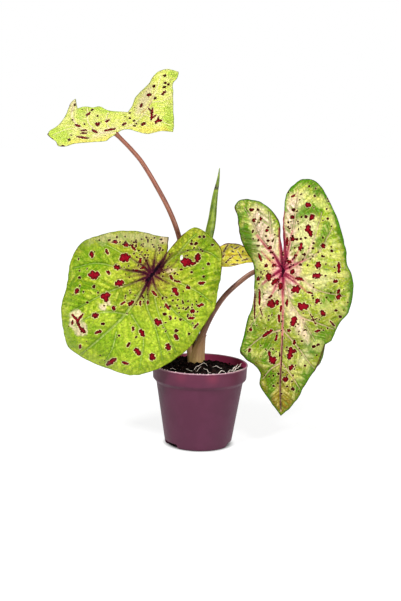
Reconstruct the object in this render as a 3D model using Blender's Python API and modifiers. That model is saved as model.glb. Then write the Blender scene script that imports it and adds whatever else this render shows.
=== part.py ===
"""Potted caladium: a tapered nursery pot filled with soil, a buried tuber, five leaf stalks
and five leaves. Two large spotted leaves hang near the front, one is held high on the left,
a small one sits between them, and the newest is still rolled to a point.

Lengths are in millimetres until a mesh is made. The front of the plant looks along -Y.
The origin is the centre of the pot's flat underside.
"""
import math

import bpy
import bmesh
import numpy as np
from mathutils import Matrix, Vector, noise
from mathutils.geometry import delaunay_2d_cdt

MM = 0.001

# Nursery pot
RIM_DIAMETER = 105.0
POT_HEIGHT = 90.0
RIM_BAND_HEIGHT = 15.5
RIM_BAND_TAPER = 1.1
BAND_STEP_HEIGHT = 4.5
WALL_TOP_RADIUS = 47.6
BASE_RADIUS = 36.4
LIP_HEIGHT = 1.2
LIP_STANDS_OUT = 0.5
FOOT_BEVEL_WIDTH = 1.5
FOOT_BEVEL_HEIGHT = 2.0
WALL = 1.4
FLOOR = 1.6
POT_SIDES = 48
NOTCH_HEIGHT = 5.2
NOTCH_WIDTH_DEG = 40.0
NOTCH_DEPTH = 5.0
NOTCH_AT_DEG = (-57.5, 78.0, 190.0)

# Soil, mounded round the stalks
SOIL_EDGE_Z = 85.5
MOUND_HEIGHT = 8.0
MOUND_RADIUS = 19.0
MOUND_AT = (-3.0, 3.0)
HEAP_HEIGHT = 3.0
HEAP_RADIUS = 8.0
HEAP_AT = (-15.0, 9.0)
CRUMB_HEIGHT = 1.6
CRUMB_SIZE = 7.0
FINE_CRUMB_HEIGHT = 0.8
FINE_CRUMB_SIZE = 3.1
SOIL_RINGS = 10
FIT_GAP = 0.4

# Tuber under the soil
TUBER_RADIUS = 23.0
TUBER_CROWN_RADIUS = 19.0
TUBER_TOP_Z = 66.0
TUBER_DEPTH = 24.0
TUBER_AT = (-4.0, 6.5)
TUBER_SIDES = 24
HOLE_SIDES = 14

# Leaves. They are drawn as they look from VIEW_DISTANCE in front, so what stands farther back
# is made as much larger as that distance asks.
BLADE = 0.8
RIB = 2.3
LEAF_STEP = 7.5
OUTLINE_STEP = 6.0
VIEW_DISTANCE = 1370.0
PLANT_LEAN = Matrix.Rotation(math.radians(-1.5), 3, "Y")
LEAN_FROM = Vector((0.0, 0.0, 94.0))
STALK_STEP = 8.0
STALK_UPRIGHT_TO = 96.0
STALK_GAP = 0.4
ROLL_GAP = 0.7


def clear_scene():
    for item in list(bpy.data.objects):
        bpy.data.objects.remove(item, do_unlink=True)
    for group in list(bpy.data.collections):
        bpy.data.collections.remove(group)


def hex_colour(text):
    """Turn an sRGB hex string into linear RGBA."""
    channels = []
    for i in (0, 2, 4):
        value = int(text[i:i + 2], 16) / 255.0
        if value <= 0.04045:
            channels.append(value / 12.92)
        else:
            channels.append(((value + 0.055) / 1.055) ** 2.4)
    return (*channels, 1.0)


def plain_material(name, colour, roughness):
    material = bpy.data.materials.new(name)
    material.use_nodes = True
    shader = material.node_tree.nodes["Principled BSDF"]
    shader.inputs["Base Color"].default_value = hex_colour(colour)
    shader.inputs["Roughness"].default_value = roughness
    shader.inputs["Metallic"].default_value = 0.0
    material.diffuse_color = hex_colour(colour)
    return material


def add_object(name, mesh, material, group):
    item = bpy.data.objects.new(name, mesh)
    group.objects.link(item)
    if material is not None:
        mesh.materials.clear()
        mesh.materials.append(material)
    return item


def turned_mesh(name, profile, sides):
    """Turn an (r, z) profile round Z with a Screw modifier and return the mesh.

    The profile starts at the top on the axis side or the outer side and runs down the outside.
    """
    line = bpy.data.meshes.new(name + "_profile")
    points = [(r * MM, 0.0, z * MM) for r, z in profile]
    line.from_pydata(points, [(i, i + 1) for i in range(len(points) - 1)], [])
    item = bpy.data.objects.new(name + "_profile", line)
    bpy.context.scene.collection.objects.link(item)
    screw = item.modifiers.new("Screw", "SCREW")
    screw.axis = "Z"
    screw.steps = sides
    screw.render_steps = sides
    screw.use_merge_vertices = True
    screw.merge_threshold = 0.00001
    screw.use_smooth_shade = False
    mesh = evaluated_mesh(item)
    bpy.data.objects.remove(item, do_unlink=True)
    return mesh


def evaluated_mesh(item):
    """Return a new mesh of the object with its modifiers applied."""
    graph = bpy.context.evaluated_depsgraph_get()
    graph.update()
    mesh = bpy.data.meshes.new_from_object(item.evaluated_get(graph))
    mesh.name = item.name
    return mesh


def weld(mesh, distance=0.00001):
    work = bmesh.new()
    work.from_mesh(mesh)
    bmesh.ops.remove_doubles(work, verts=work.verts, dist=distance)
    bmesh.ops.recalc_face_normals(work, faces=work.faces)
    work.to_mesh(mesh)
    work.free()


def cutter_object(name, mesh, cutters):
    item = add_object(name, mesh, None, cutters)
    item.hide_render = True
    item.display_type = "WIRE"
    return item


def cut(item, cutter):
    boolean = item.modifiers.new("Cut " + cutter.name, "BOOLEAN")
    boolean.operation = "DIFFERENCE"
    boolean.solver = "EXACT"
    boolean.object = cutter


def smooth_path(points, step, closed=False):
    """Run a smooth line through the points, with a point about every step.

    A point with "corner" as its last item keeps a sharp corner.
    """
    knots = [Vector([c for c in p if c != "corner"]) for p in points]
    sharp = [p[-1] == "corner" for p in points]
    count = len(knots)
    spans = count if closed else count - 1
    path = []
    for i in range(spans):
        a, b = i, (i + 1) % count
        chord = knots[b] - knots[a]
        length = chord.length
        before = knots[a - 1] if (closed or a > 0) else None
        after = knots[(b + 1) % count] if (closed or b + 1 < count) else None
        leave = chord.copy()
        arrive = chord.copy()
        if before is not None and not sharp[a]:
            leave = (knots[b] - before) * (length / (length + (knots[a] - before).length))
        if after is not None and not sharp[b]:
            arrive = (after - knots[a]) * (length / (length + (after - knots[b]).length))
        pieces = max(1, round(length / step))
        for k in range(pieces):
            t = k / pieces
            path.append(
                knots[a] * (2 * t ** 3 - 3 * t ** 2 + 1)
                + leave * (t ** 3 - 2 * t ** 2 + t)
                + knots[b] * (3 * t ** 2 - 2 * t ** 3)
                + arrive * (t ** 3 - t ** 2)
            )
    if not closed:
        path.append(knots[-1])
    return path


def distance_to_lines(points, lines):
    """Distance from each 2D point to the nearest of the broken lines."""
    points = np.asarray(points, dtype=float)
    nearest = np.full(len(points), 1e9)
    for line in lines:
        start = line[:-1]
        run = line[1:] - start
        square = np.maximum((run ** 2).sum(axis=1), 1e-12)
        away = points[:, None, :] - start[None, :, :]
        along = np.clip((away * run[None]).sum(axis=2) / square[None], 0.0, 1.0)
        miss = away - along[:, :, None] * run[None]
        nearest = np.minimum(nearest, np.sqrt((miss ** 2).sum(axis=2)).min(axis=1))
    return nearest


def inside_outline(points, outline):
    """True for each 2D point that lies inside the closed outline."""
    x, y = points[:, 0][:, None], points[:, 1][:, None]
    x1, y1 = outline[:, 0][None], outline[:, 1][None]
    x2, y2 = np.roll(outline[:, 0], -1)[None], np.roll(outline[:, 1], -1)[None]
    crosses = (y1 > y) != (y2 > y)
    reach = (x2 - x1) * (y - y1) / np.where(y2 == y1, 1e-12, y2 - y1) + x1
    return (crosses & (x < reach)).sum(axis=1) % 2 == 1


def ramp(x, width):
    """Zero below zero, x above it, with a soft bend of that width."""
    return 0.5 * (x + np.sqrt(x * x + width * width))


def hump(u, v, at_u, at_v, size_u, size_v):
    return np.exp(-((u - at_u) / size_u) ** 2 - ((v - at_v) / size_v) ** 2)


def fade(x, low, high):
    """Smooth step from 0 at low to 1 at high."""
    t = np.clip((x - low) / (high - low), 0.0, 1.0)
    return t * t * (3.0 - 2.0 * t)


# Each leaf is drawn as it looks square on from the front: u runs right, v up, in mm from the
# place where the stalk joins it. Its relief is how far each point stands towards the viewer.

def relief_left(u, v, margin, rib):
    """The rounded left leaf: a shallow dome, its top strip and its tip bent back."""
    radius = np.hypot(u, v)
    angle = np.arctan2(v, u)
    to_tip = -0.73 * u - 0.68 * v
    crease = 31.0 - 0.0045 * (u + 38.0) ** 2
    dome = -0.0026 * ((u + 12.0) ** 2 + (v + 25.0) ** 2)
    top_strip = -2.1 * ramp(v - crease, 3.0) * fade(-u, -20.0, -8.0)
    tip = -0.9 * ramp(to_tip - 92.0, 14.0)
    lobe = 9.0 * hump(u, v, 46.0, 34.0, 20.0, 20.0) - 8.0 * hump(u, v, 38.0, 12.0, 22.0, 9.0)
    centre = -6.0 * np.exp(-(radius / 15.0) ** 2)
    belly = 5.0 * hump(u, v, -52.0, -18.0, 26.0, 20.0) + 5.0 * hump(u, v, 22.0, -62.0, 26.0, 22.0)
    trough = -3.0 * hump(u, v, -36.0, -62.0, 16.0, 30.0)
    edge = 2.6 * np.sin(7.0 * angle + 0.8) * fade(-margin, -22.0, -2.0) * fade(radius, 20.0, 45.0)
    curl = -5.0 * fade(-margin, -11.0, 1.0)
    quilt = 2.0 * fade(rib, 0.0, 9.0) * fade(margin, 0.0, 8.0) * fade(radius, 6.0, 26.0)
    return dome + top_strip + tip + lobe + centre + belly + trough + edge + curl + quilt


def relief_right(u, v, margin, rib):
    """The hanging right leaf: folded along its midrib, its left half turned away."""
    radius = np.hypot(u, v)
    arch = -0.0011 * (v + 25.0) ** 2
    left_half = -0.62 * ramp(-u - 1.0, 5.0) - 0.22 * ramp(-u - 24.0, 6.0) * fade(v, -60.0, -20.0)
    right_half = -0.10 * ramp(u, 5.0) - 0.0042 * ramp(u - 18.0, 8.0) ** 2
    left_lobe = -0.35 * ramp(v - 18.0, 8.0) * fade(-u, 0.0, 8.0)
    rolled_edge = -9.0 * fade(-margin, -13.0, 0.0) * hump(u, v, -38.0, 14.0, 16.0, 24.0)
    right_lobe = -0.22 * ramp(v - 45.0, 12.0) * fade(u, -2.0, 10.0)
    flare = 9.0 * hump(u, v, -44.0, -86.0, 16.0, 22.0)
    pleat = 4.5 * hump(u, v, 54.0, -62.0, 13.0, 13.0) - 3.5 * hump(u, v, 44.0, -90.0, 13.0, 15.0)
    shoulder = 5.0 * hump(u, v, 60.0, -18.0, 12.0, 24.0) - 4.0 * hump(u, v, 62.0, 16.0, 12.0, 14.0)
    tip = 7.0 * hump(u, v, 0.0, -150.0, 22.0, 24.0)
    groove = -1.8 * np.exp(-(u / 4.0) ** 2) * fade(-v, -6.0, 6.0)
    centre = -3.5 * np.exp(-(radius / 11.0) ** 2)
    edge = 1.8 * np.sin(v / 7.5 + 0.6) * fade(-margin, -15.0, -1.0)
    curl = -2.5 * fade(-margin, -7.0, 1.0)
    quilt = 2.6 * fade(rib, 0.0, 8.0) * fade(margin, 0.0, 8.0) * fade(radius, 6.0, 22.0)
    shape = arch + left_half + right_half + left_lobe + rolled_edge + right_lobe + flare
    return shape + pleat + shoulder + tip + groove + centre + edge + curl + quilt


def relief_top(u, v, margin, rib):
    """The high leaf: nearly level, running away from the viewer, its right lobe twisted up."""
    blade_side = fade(-u, -16.0, -4.0)
    slope = 2.6 - 1.7 * fade(u, 2.0, 42.0) - 0.0006 * (u + 25.0) ** 2 * blade_side
    away = -slope * (v - 0.8 * ramp(v - 23.0, 5.0) * blade_side)
    left_end = 0.6 * ramp(-u - 46.0, 4.0)
    lobe_fold = -0.45 * np.sqrt((u - 36.0 - 0.28 * v) ** 2 + 16.0) * fade(u, 8.0, 26.0)
    wave = 5.0 * np.sin(u / 9.0 + 0.5) * fade(-margin, -26.0, -4.0) * fade(-u, -12.0, 2.0)
    quilt = 2.0 * fade(rib, 0.0, 8.0) * fade(margin, 0.0, 8.0)
    return away + left_end + lobe_fold + wave + quilt


def relief_back(u, v, margin, rib):
    """The small leaf: tipped back, with a soft fold along its midrib."""
    fold = -0.35 * np.sqrt((v - 1.0) ** 2 + 9.0)
    droop = -0.004 * (u - 12.0) ** 2
    edge = 1.5 * np.sin(u / 5.0) * fade(-margin, -8.0, -1.0)
    return -1.6 * v + fold + droop + edge + 0.8 * fade(rib, 0.0, 5.0)


LEAVES = {
    "leaf_left": {
        "at": (-49.6, -52.0, 197.0),
        "facing": (2.1, 8.9),
        "stretch": 1.0,
        "relief": relief_left,
        "outline": [
            (7, 7, "corner"), (11, 15), (14, 25), (17, 39, "corner"), (3, 41), (-14, 45),
            (-39, 45), (-56, 41), (-70, 36), (-79, 27), (-86, 11), (-89, -9), (-95, -31),
            (-95, -46), (-93, -61), (-89, -75), (-79, -83), (-67, -90), (-48, -98),
            (-27, -105), (-9, -104), (11, -96), (28, -85), (40, -75), (51, -58), (59, -45),
            (65, -35), (69, -14), (72, -1), (73, 12), (72, 26), (64, 37), (53, 46), (44, 49),
            (34, 43), (25, 35), (19, 26), (14, 17),
        ],
        "ribs": [
            [(-4, -5), (-29, -42), (-52, -64), (-66, -78)],
            [(-6, 3), (-25, 18), (-44, 29)],
            [(-8, -1), (-32, 6), (-58, 12), (-78, 8)],
            [(-8, -6), (-38, -15), (-60, -25), (-80, -36)],
            [(2, -8), (15, -29), (32, -48), (42, -60)],
            [(-3, -9), (-4, -40), (8, -70), (14, -84)],
            [(8, -3), (28, -9), (48, -19), (58, -28)],
            [(9, 3), (27, 18), (42, 24), (59, 22)],
        ],
    },
    "leaf_right": {
        "at": (88.5, -30.0, 198.0),
        "facing": (-3.8, 8.8),
        "stretch": 1.0,
        "relief": relief_right,
        "outline": [
            (-1, 14, "corner"), (-3, 26), (-6, 36), (-6, 45), (-4, 50, "corner"), (-11, 62),
            (-23, 71), (-37, 75), (-48, 74), (-53, 67), (-50, 57), (-48, 44), (-46, 33),
            (-40, 20), (-33, 8), (-31, -5), (-31, -21), (-33, -39), (-38, -54), (-41, -69),
            (-45, -87), (-39, -95), (-30, -101), (-23, -110), (-24, -122), (-18, -132),
            (-10, -143), (-1, -155, "corner"), (8, -147), (19, -133), (22, -126), (35, -105),
            (42, -94), (45, -78, "corner"), (52, -74, "corner"), (60, -56), (70, -42),
            (74, -21), (72, -4), (67, 7), (66, 20), (58, 50), (49, 71), (40, 87), (32, 95),
            (21, 97), (11, 92), (2, 81), (0, 66), (-1, 52), (-1, 38), (0, 25),
        ],
        "ribs": [
            [(-1, -5), (-1, -28), (0, -63), (-1, -98), (-2, -124), (-1, -146)],
            [(2, 7), (7, 27), (12, 59), (14, 84)],
            [(5, 2), (21, 10), (37, 20), (51, 45)],
            [(4, -3), (18, -9), (37, -19), (62, -26)],
            [(3, -12), (8, -32), (21, -50), (38, -73)],
            [(-5, -3), (-16, -10), (-26, -19)],
            [(-4, -12), (-13, -27), (-29, -50)],
            [(-4, 5), (-15, 22), (-28, 40), (-41, 64)],
        ],
    },
    "leaf_top": {
        "at": (-89.4, -8.0, 341.5),
        "facing": (3.5, 2.8),
        "stretch": 2.3,
        "relief": relief_top,
        "outline": [
            (-72, -1, "corner"), (-69, 3), (-61, 8), (-54, 16), (-50, 25), (-46, 33),
            (-42, 36, "corner"), (-40, 26, "corner"), (-33, 28), (-24, 27), (-17, 28),
            (-8, 24), (0, 23), (13, 22, "corner"), (17, 28), (21, 38), (28, 45), (35, 52),
            (40, 60), (47, 65), (55, 67), (63, 65), (67, 64, "corner"), (65, 57), (61, 52),
            (61, 40), (61, 26), (62, 13), (61, 1, "corner"), (49, 2), (34, -1), (21, 2),
            (14, 4), (6, 3), (-1, -2), (-6, -5), (-10, -8), (-20, -9), (-33, -10), (-44, -11),
            (-50, -13), (-56, -14), (-61, -13), (-63, -9), (-68, -5),
        ],
        "ribs": [
            [(-4, 2), (-22, 2), (-37, 6), (-45, 17), (-44, 29)],
            [(5, 5), (16, 9), (30, 20), (44, 50), (48, 60)],
            [(-10, 4), (-24, 8), (-29, 19), (-27, 25)],
        ],
    },
    "leaf_back": {
        "at": (13.8, 25.0, 205.4),
        "facing": (-0.5, 8.1),
        "stretch": 1.7,
        "relief": relief_back,
        "outline": [
            (-3, 0, "corner"), (-9, 4), (-11, 9), (-5, 11), (2, 10), (8, 11), (15, 14),
            (22, 14), (29, 13), (38, 9), (48, 4), (56, -2, "corner"), (49, -6), (41, -7),
            (34, -8), (22, -11), (12, -12), (3, -11), (-5, -9), (-10, -5), (-9, -2),
        ],
        "ribs": [
            [(2, 0), (20, 1), (38, 1), (50, -1)],
        ],
    },
}

# Stalks: points from the tuber up, then the radius at the ground, halfway and at the leaf
STALKS = {
    "petiole_right": {
        "leaf": "leaf_right",
        "foot": (-1.8, -1.0),
        "path": [(-0.5, -1, 112), (7, -1, 133), (17, -1, 151.5), (28, 0, 166.5),
                 (44, 3, 180.8), (57.5, 4, 190.2), (74, -3, 196.8)],
        "stub": 6.0,
        "radii": (4.3, 2.8, 2.5),
    },
    "petiole_left": {
        "leaf": "leaf_left",
        "foot": (-11.6, 0.5),
        "path": [(-13, -1, 115), (-19, -6, 145), (-28, -16, 171), (-38, -28, 187)],
        "stub": 6.0,
        "radii": (3.6, 3.0, 2.6),
    },
    "petiole_top": {
        "leaf": "leaf_top",
        "foot": (-6.5, 8.0),
        "path": [(-8, 9, 120), (-11, 8, 155), (-16, 6, 195), (-23.5, 2, 232), (-32.5, 0, 257),
                 (-46, -2, 283.5), (-62, -4, 310.5), (-73, -5, 324), (-81.5, -6, 333)],
        "stub": 2.0,
        "radii": (3.6, 2.8, 2.2),
    },
    "petiole_back": {
        "leaf": "leaf_back",
        "foot": (2.4, 8.6),
        "path": [(5, 11, 130), (9, 16, 165), (12, 22, 190)],
        "stub": 4.0,
        "radii": (2.5, 2.0, 1.5),
    },
    "petiole_new": {
        "leaf": None,
        "foot": (-2.4, 16.2),
        "path": [(-4, 18, 130), (-2, 16, 170), (3, 13.5, 195), (7, 12.2, 211)],
        "radii": (2.8, 2.5, 2.3),
    },
}

# The rolled leaf: points up its axis with the radius of the roll at each
ROLLED = [
    ((7.6, 12, 213), 2.5), ((9.4, 12, 222), 4.4), ((11.2, 12, 234), 4.9), ((13.4, 12, 248), 4.3),
    ((14.9, 12, 262), 3.9), ((16.8, 12, 276), 2.8), ((19.2, 12, 290), 1.5), ((21.9, 12, 303), 0.5),
]
ROLL_SIDES = 14
ROLL_OVERLAP = 0.22


def leaned(point):
    """Where a point of the upright plant goes when it leans a little to the left."""
    return PLANT_LEAN @ (Vector(point) - LEAN_FROM) + LEAN_FROM


def leaf_axes(leaf):
    """Right, up and outward directions of the plane that a leaf is drawn in."""
    azimuth, elevation = (math.radians(a) for a in leaf["facing"])
    out = Vector((
        math.sin(azimuth) * math.cos(elevation),
        -math.cos(azimuth) * math.cos(elevation),
        math.sin(elevation),
    ))
    right = Vector((math.cos(azimuth), math.sin(azimuth), 0.0))
    return PLANT_LEAN @ right, PLANT_LEAN @ out.cross(right), PLANT_LEAN @ out


def leaf_lines(leaf, step):
    """Outline and ribs as dense lines in the stretched plane of the leaf."""
    scale = np.array((1.0, leaf["stretch"]))
    outline = np.array([tuple(p) for p in smooth_path(leaf["outline"], step, closed=True)])
    ribs = [np.array([tuple(p) for p in smooth_path(r, step)]) for r in leaf["ribs"]]
    return outline * scale, [r * scale for r in ribs]


def place_on_leaf(leaf, flat, outline, ribs):
    """World points in mm for stretched plane points."""
    margin = distance_to_lines(flat, [np.vstack([outline, outline[:1]])])
    rib = distance_to_lines(flat, ribs)
    u, v = flat[:, 0], flat[:, 1] / leaf["stretch"]
    depth = leaf["relief"](u, v, margin, rib)
    right, up, out = (np.array(axis) for axis in leaf_axes(leaf))
    grow = 1.0 - depth / VIEW_DISTANCE
    across = (u * grow)[:, None] * right + (v * grow)[:, None] * up
    return np.array(leaned(leaf["at"])) + across + depth[:, None] * out


def leaf_mesh(name, leaf, step):
    """Open triangulated blade with a point group that thickens it along the ribs."""
    outline, ribs = leaf_lines(leaf, OUTLINE_STEP)
    low, high = outline.min(axis=0), outline.max(axis=0)
    row_height = step * math.sqrt(3.0) / 2.0
    field = []
    for row in range(int((high[1] - low[1]) / row_height) + 1):
        shift = step / 2.0 if row % 2 else 0.0
        for column in range(int((high[0] - low[0]) / step) + 1):
            field.append((low[0] + shift + column * step, low[1] + (row + 0.5) * row_height))
    field = np.array(field)
    field = field[inside_outline(field, outline)]
    closed = [np.vstack([outline, outline[:1]])]
    field = field[distance_to_lines(field, closed) > 0.55 * step]
    field = field[distance_to_lines(field, ribs) > 0.55 * step]
    points = [Vector(p) for p in outline]
    edges = [(i, (i + 1) % len(outline)) for i in range(len(outline))]
    for line in ribs:
        first = len(points)
        points += [Vector(p) for p in line]
        edges += [(first + i, first + i + 1) for i in range(len(line) - 1)]
    points += [Vector(p) for p in field]
    verts, _, faces, *_ = delaunay_2d_cdt(points, edges, [], 1, 1e-5)
    flat = np.array([tuple(p) for p in verts])
    world = place_on_leaf(leaf, flat, outline, ribs) * MM
    mesh = bpy.data.meshes.new(name)
    mesh.from_pydata([tuple(p) for p in world], [], [tuple(f) for f in faces])
    on_rib = fade(-distance_to_lines(flat, ribs), -0.3 * step, 0.0)
    length = np.hypot(flat[:, 0], flat[:, 1])
    taper = 1.0 - 0.6 * length / length.max()
    return mesh, on_rib * taper


def make_leaf(name, leaf, material, group):
    mesh, weights = leaf_mesh(name, leaf, LEAF_STEP)
    item = add_object(name, mesh, material, group)
    ribs = item.vertex_groups.new(name="ribs")
    for index, weight in enumerate(weights):
        ribs.add([index], float(weight), "REPLACE")
    solid = item.modifiers.new("Solidify", "SOLIDIFY")
    solid.thickness = RIB * MM
    solid.offset = -1.0
    solid.vertex_group = "ribs"
    solid.thickness_vertex_group = BLADE / RIB
    return item


def under_leaf(leaf, clearance):
    """Point just behind the blade where the stalk joins, and the direction out of its back."""
    outline, ribs = leaf_lines(leaf, 3.0)
    spots = np.array([(0.0, 0.0), (2.0, 0.0), (0.0, 2.0)])
    at, beside, above = (Vector(p) for p in place_on_leaf(leaf, spots, outline, ribs))
    front = (beside - at).cross(above - at).normalized()
    return at - front * clearance, -front


def make_stalk(name, stalk, material, group):
    foot = stalk["foot"]
    bottom = TUBER_TOP_Z + FIT_GAP
    middle_z = (bottom + STALK_UPRIGHT_TO) / 2.0
    points = [(*foot, bottom), (*foot, middle_z), (*foot, STALK_UPRIGHT_TO)]
    points += [tuple(leaned(p)) for p in stalk["path"]]
    if stalk["leaf"]:
        end, back = under_leaf(LEAVES[stalk["leaf"]], RIB + STALK_GAP)
        points += [tuple(end + back * stalk["stub"]), tuple(end)]
    else:
        points.append(tuple(leaned(ROLLED[0][0]) - Vector((0.0, 0.0, ROLL_GAP))))
    path = smooth_path(points, STALK_STEP)
    curve = bpy.data.curves.new(name, "CURVE")
    curve.dimensions = "3D"
    curve.bevel_depth = MM
    curve.bevel_resolution = 3
    curve.use_fill_caps = True
    spline = curve.splines.new("POLY")
    spline.points.add(len(path) - 1)
    ground, middle, top = stalk["radii"]
    for i, point in enumerate(path):
        t = i / (len(path) - 1)
        width = ground + (middle - ground) * min(1.0, 2.0 * t)
        width += (top - middle) * max(0.0, 2.0 * t - 1.0)
        spline.points[i].co = (*(point * MM), 1.0)
        spline.points[i].radius = width
    tube = bpy.data.objects.new(name + "_curve", curve)
    bpy.context.scene.collection.objects.link(tube)
    mesh = evaluated_mesh(tube)
    bpy.data.objects.remove(tube, do_unlink=True)
    weld(mesh)
    mesh.name = name
    return add_object(name, mesh, material, group)


def make_rolled(material, group):
    """Loft of scroll sections: each section's radius grows round the turn and steps back."""
    rows = []
    work = bmesh.new()
    for i, (centre, radius) in enumerate(ROLLED):
        before = leaned(ROLLED[max(i - 1, 0)][0])
        after = leaned(ROLLED[min(i + 1, len(ROLLED) - 1)][0])
        axis = (after - before).normalized()
        side = axis.cross(Vector((0.0, 1.0, 0.0))).normalized()
        front = axis.cross(side)
        row = []
        for k in range(ROLL_SIDES):
            turn = k / ROLL_SIDES
            angle = 2.0 * math.pi * (turn + 0.05 * i)
            reach = radius * (1.0 - ROLL_OVERLAP * (1.0 - turn))
            offset = side * math.cos(angle) + front * math.sin(angle)
            row.append(work.verts.new((leaned(centre) + offset * reach) * MM))
        rows.append(row)
    for low, high in zip(rows, rows[1:]):
        for k in range(ROLL_SIDES):
            n = (k + 1) % ROLL_SIDES
            work.faces.new((low[k], low[n], high[n], high[k]))
    work.faces.new(rows[0])
    work.faces.new(rows[-1])
    bmesh.ops.recalc_face_normals(work, faces=work.faces)
    bmesh.ops.triangulate(work, faces=work.faces)
    mesh = bpy.data.meshes.new("leaf_rolled")
    work.to_mesh(mesh)
    work.free()
    return add_object("leaf_rolled", mesh, material, group)


def wall_radius(z):
    """Outer radius of the tapered wall at a height."""
    top = POT_HEIGHT - RIM_BAND_HEIGHT - BAND_STEP_HEIGHT
    return BASE_RADIUS + (WALL_TOP_RADIUS - BASE_RADIUS) * z / top


def make_pot(material, group, cutters):
    rim = RIM_DIAMETER / 2.0
    band_z = POT_HEIGHT - RIM_BAND_HEIGHT
    wall_z = band_z - BAND_STEP_HEIGHT
    profile = [
        (rim - WALL, POT_HEIGHT),
        (rim, POT_HEIGHT),
        (rim, POT_HEIGHT - LIP_HEIGHT),
        (rim - LIP_STANDS_OUT, POT_HEIGHT - 1.5 * LIP_HEIGHT),
        (rim - RIM_BAND_TAPER, band_z),
        (wall_radius(wall_z), wall_z),
        (wall_radius(FOOT_BEVEL_HEIGHT), FOOT_BEVEL_HEIGHT),
        (wall_radius(0.0) - FOOT_BEVEL_WIDTH, 0.0),
        (0.0, 0.0),
        (0.0, FLOOR),
        (wall_radius(FLOOR) - WALL, FLOOR),
        (wall_radius(wall_z) - WALL, wall_z),
        (rim - RIM_BAND_TAPER - WALL, band_z),
        (rim - WALL, POT_HEIGHT),
    ]
    mesh = turned_mesh("pot", profile, POT_SIDES)
    weld(mesh)
    pot = add_object("pot", mesh, material, group)
    width = 2.0 * BASE_RADIUS * math.sin(math.radians(NOTCH_WIDTH_DEG / 2.0))
    block_size = Vector((width, 4.0 * NOTCH_DEPTH, 2.0 * NOTCH_HEIGHT)) * MM
    block_at = Vector((0.0, -BASE_RADIUS - NOTCH_DEPTH, 0.0)) * MM
    for index, degrees in enumerate(NOTCH_AT_DEG):
        work = bmesh.new()
        bmesh.ops.create_cube(work, size=1.0)
        bmesh.ops.scale(work, verts=work.verts, vec=block_size)
        bmesh.ops.translate(work, verts=work.verts, vec=block_at)
        turn = Matrix.Rotation(math.radians(degrees), 3, "Z")
        bmesh.ops.rotate(work, verts=work.verts, cent=(0.0, 0.0, 0.0), matrix=turn)
        block = bpy.data.meshes.new(f"notch_{index}")
        work.to_mesh(block)
        work.free()
        cut(pot, cutter_object(f"notch_{index}", block, cutters))
    return pot


def soil_height(x, y):
    """Height of the soil's surface: a low mound with crumbs."""
    mound = MOUND_HEIGHT * math.exp(
        -((x - MOUND_AT[0]) ** 2 + (y - MOUND_AT[1]) ** 2) / MOUND_RADIUS ** 2
    )
    heap = HEAP_HEIGHT * math.exp(
        -((x - HEAP_AT[0]) ** 2 + (y - HEAP_AT[1]) ** 2) / HEAP_RADIUS ** 2
    )
    crumb = CRUMB_HEIGHT * noise.noise(Vector((x, y, 26.0)) / CRUMB_SIZE)
    fine = FINE_CRUMB_HEIGHT * noise.noise(Vector((x, y, 28.5)) / FINE_CRUMB_SIZE)
    return SOIL_EDGE_Z + mound + heap + crumb + fine


def make_soil(material, group, cutters):
    """Body of soil that fills the pot, cut for the tuber and the stalks."""
    inner = WALL + FIT_GAP
    wall_z = POT_HEIGHT - RIM_BAND_HEIGHT - BAND_STEP_HEIGHT
    rim_inside = RIM_DIAMETER / 2.0 - inner
    band_z = POT_HEIGHT - RIM_BAND_HEIGHT
    foot_z = FLOOR + FOOT_BEVEL_HEIGHT
    edge = rim_inside - 0.5
    rings = [(edge * i / SOIL_RINGS, SOIL_EDGE_Z) for i in range(SOIL_RINGS + 1)]
    walls = [
        (rim_inside - RIM_BAND_TAPER, band_z),
        (wall_radius(wall_z) - inner, wall_z),
        (wall_radius(foot_z) - inner, foot_z),
        (wall_radius(foot_z) - inner - FOOT_BEVEL_HEIGHT, FLOOR + FIT_GAP),
        (0.0, FLOOR + FIT_GAP),
    ]
    mesh = turned_mesh("soil", rings + walls, POT_SIDES)
    weld(mesh)
    for vert in mesh.vertices:
        if vert.co.z > (SOIL_EDGE_Z - 0.1) * MM:
            vert.co.z = soil_height(vert.co.x / MM, vert.co.y / MM) * MM
    soil = add_object("soil", mesh, material, group)
    pocket = turned_mesh("tuber_pocket", tuber_profile(FIT_GAP), TUBER_SIDES)
    weld(pocket)
    place = cutter_object("tuber_pocket", pocket, cutters)
    place.location = (TUBER_AT[0] * MM, TUBER_AT[1] * MM, 0.0)
    cut(soil, place)
    hole_reach = POT_HEIGHT - TUBER_TOP_Z + MOUND_HEIGHT
    for name, stalk in STALKS.items():
        work = bmesh.new()
        radius = (stalk["radii"][0] + FIT_GAP) * MM
        bmesh.ops.create_cone(
            work, cap_ends=True, segments=HOLE_SIDES, radius1=radius, radius2=radius,
            depth=2.0 * hole_reach * MM
        )
        hole = bpy.data.meshes.new("hole_" + name)
        work.to_mesh(hole)
        work.free()
        cutter = cutter_object("hole_" + name, hole, cutters)
        x, y = stalk["foot"]
        cutter.location = (x * MM, y * MM, (TUBER_TOP_Z + hole_reach - 1.0) * MM)
        cut(soil, cutter)
    return soil


def tuber_profile(extra):
    """Outline of the tuber, grown outwards by extra."""
    top = TUBER_TOP_Z + extra
    radius = TUBER_RADIUS + extra
    bottom = TUBER_TOP_Z - TUBER_DEPTH - extra
    points = [(0.0, top), (TUBER_CROWN_RADIUS + extra, top)]
    for i in range(1, 6):
        angle = math.pi * i / 6.0 - math.pi / 2.0
        middle = (top + bottom) / 2.0
        points.append((radius * math.cos(angle), middle - (top - bottom) / 2.0 * math.sin(angle)))
    shoulder = top - TUBER_DEPTH / 12.0
    points = [p for i, p in enumerate(points) if i < 2 or p[1] < shoulder]
    return points + [(0.0, bottom)]


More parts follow.
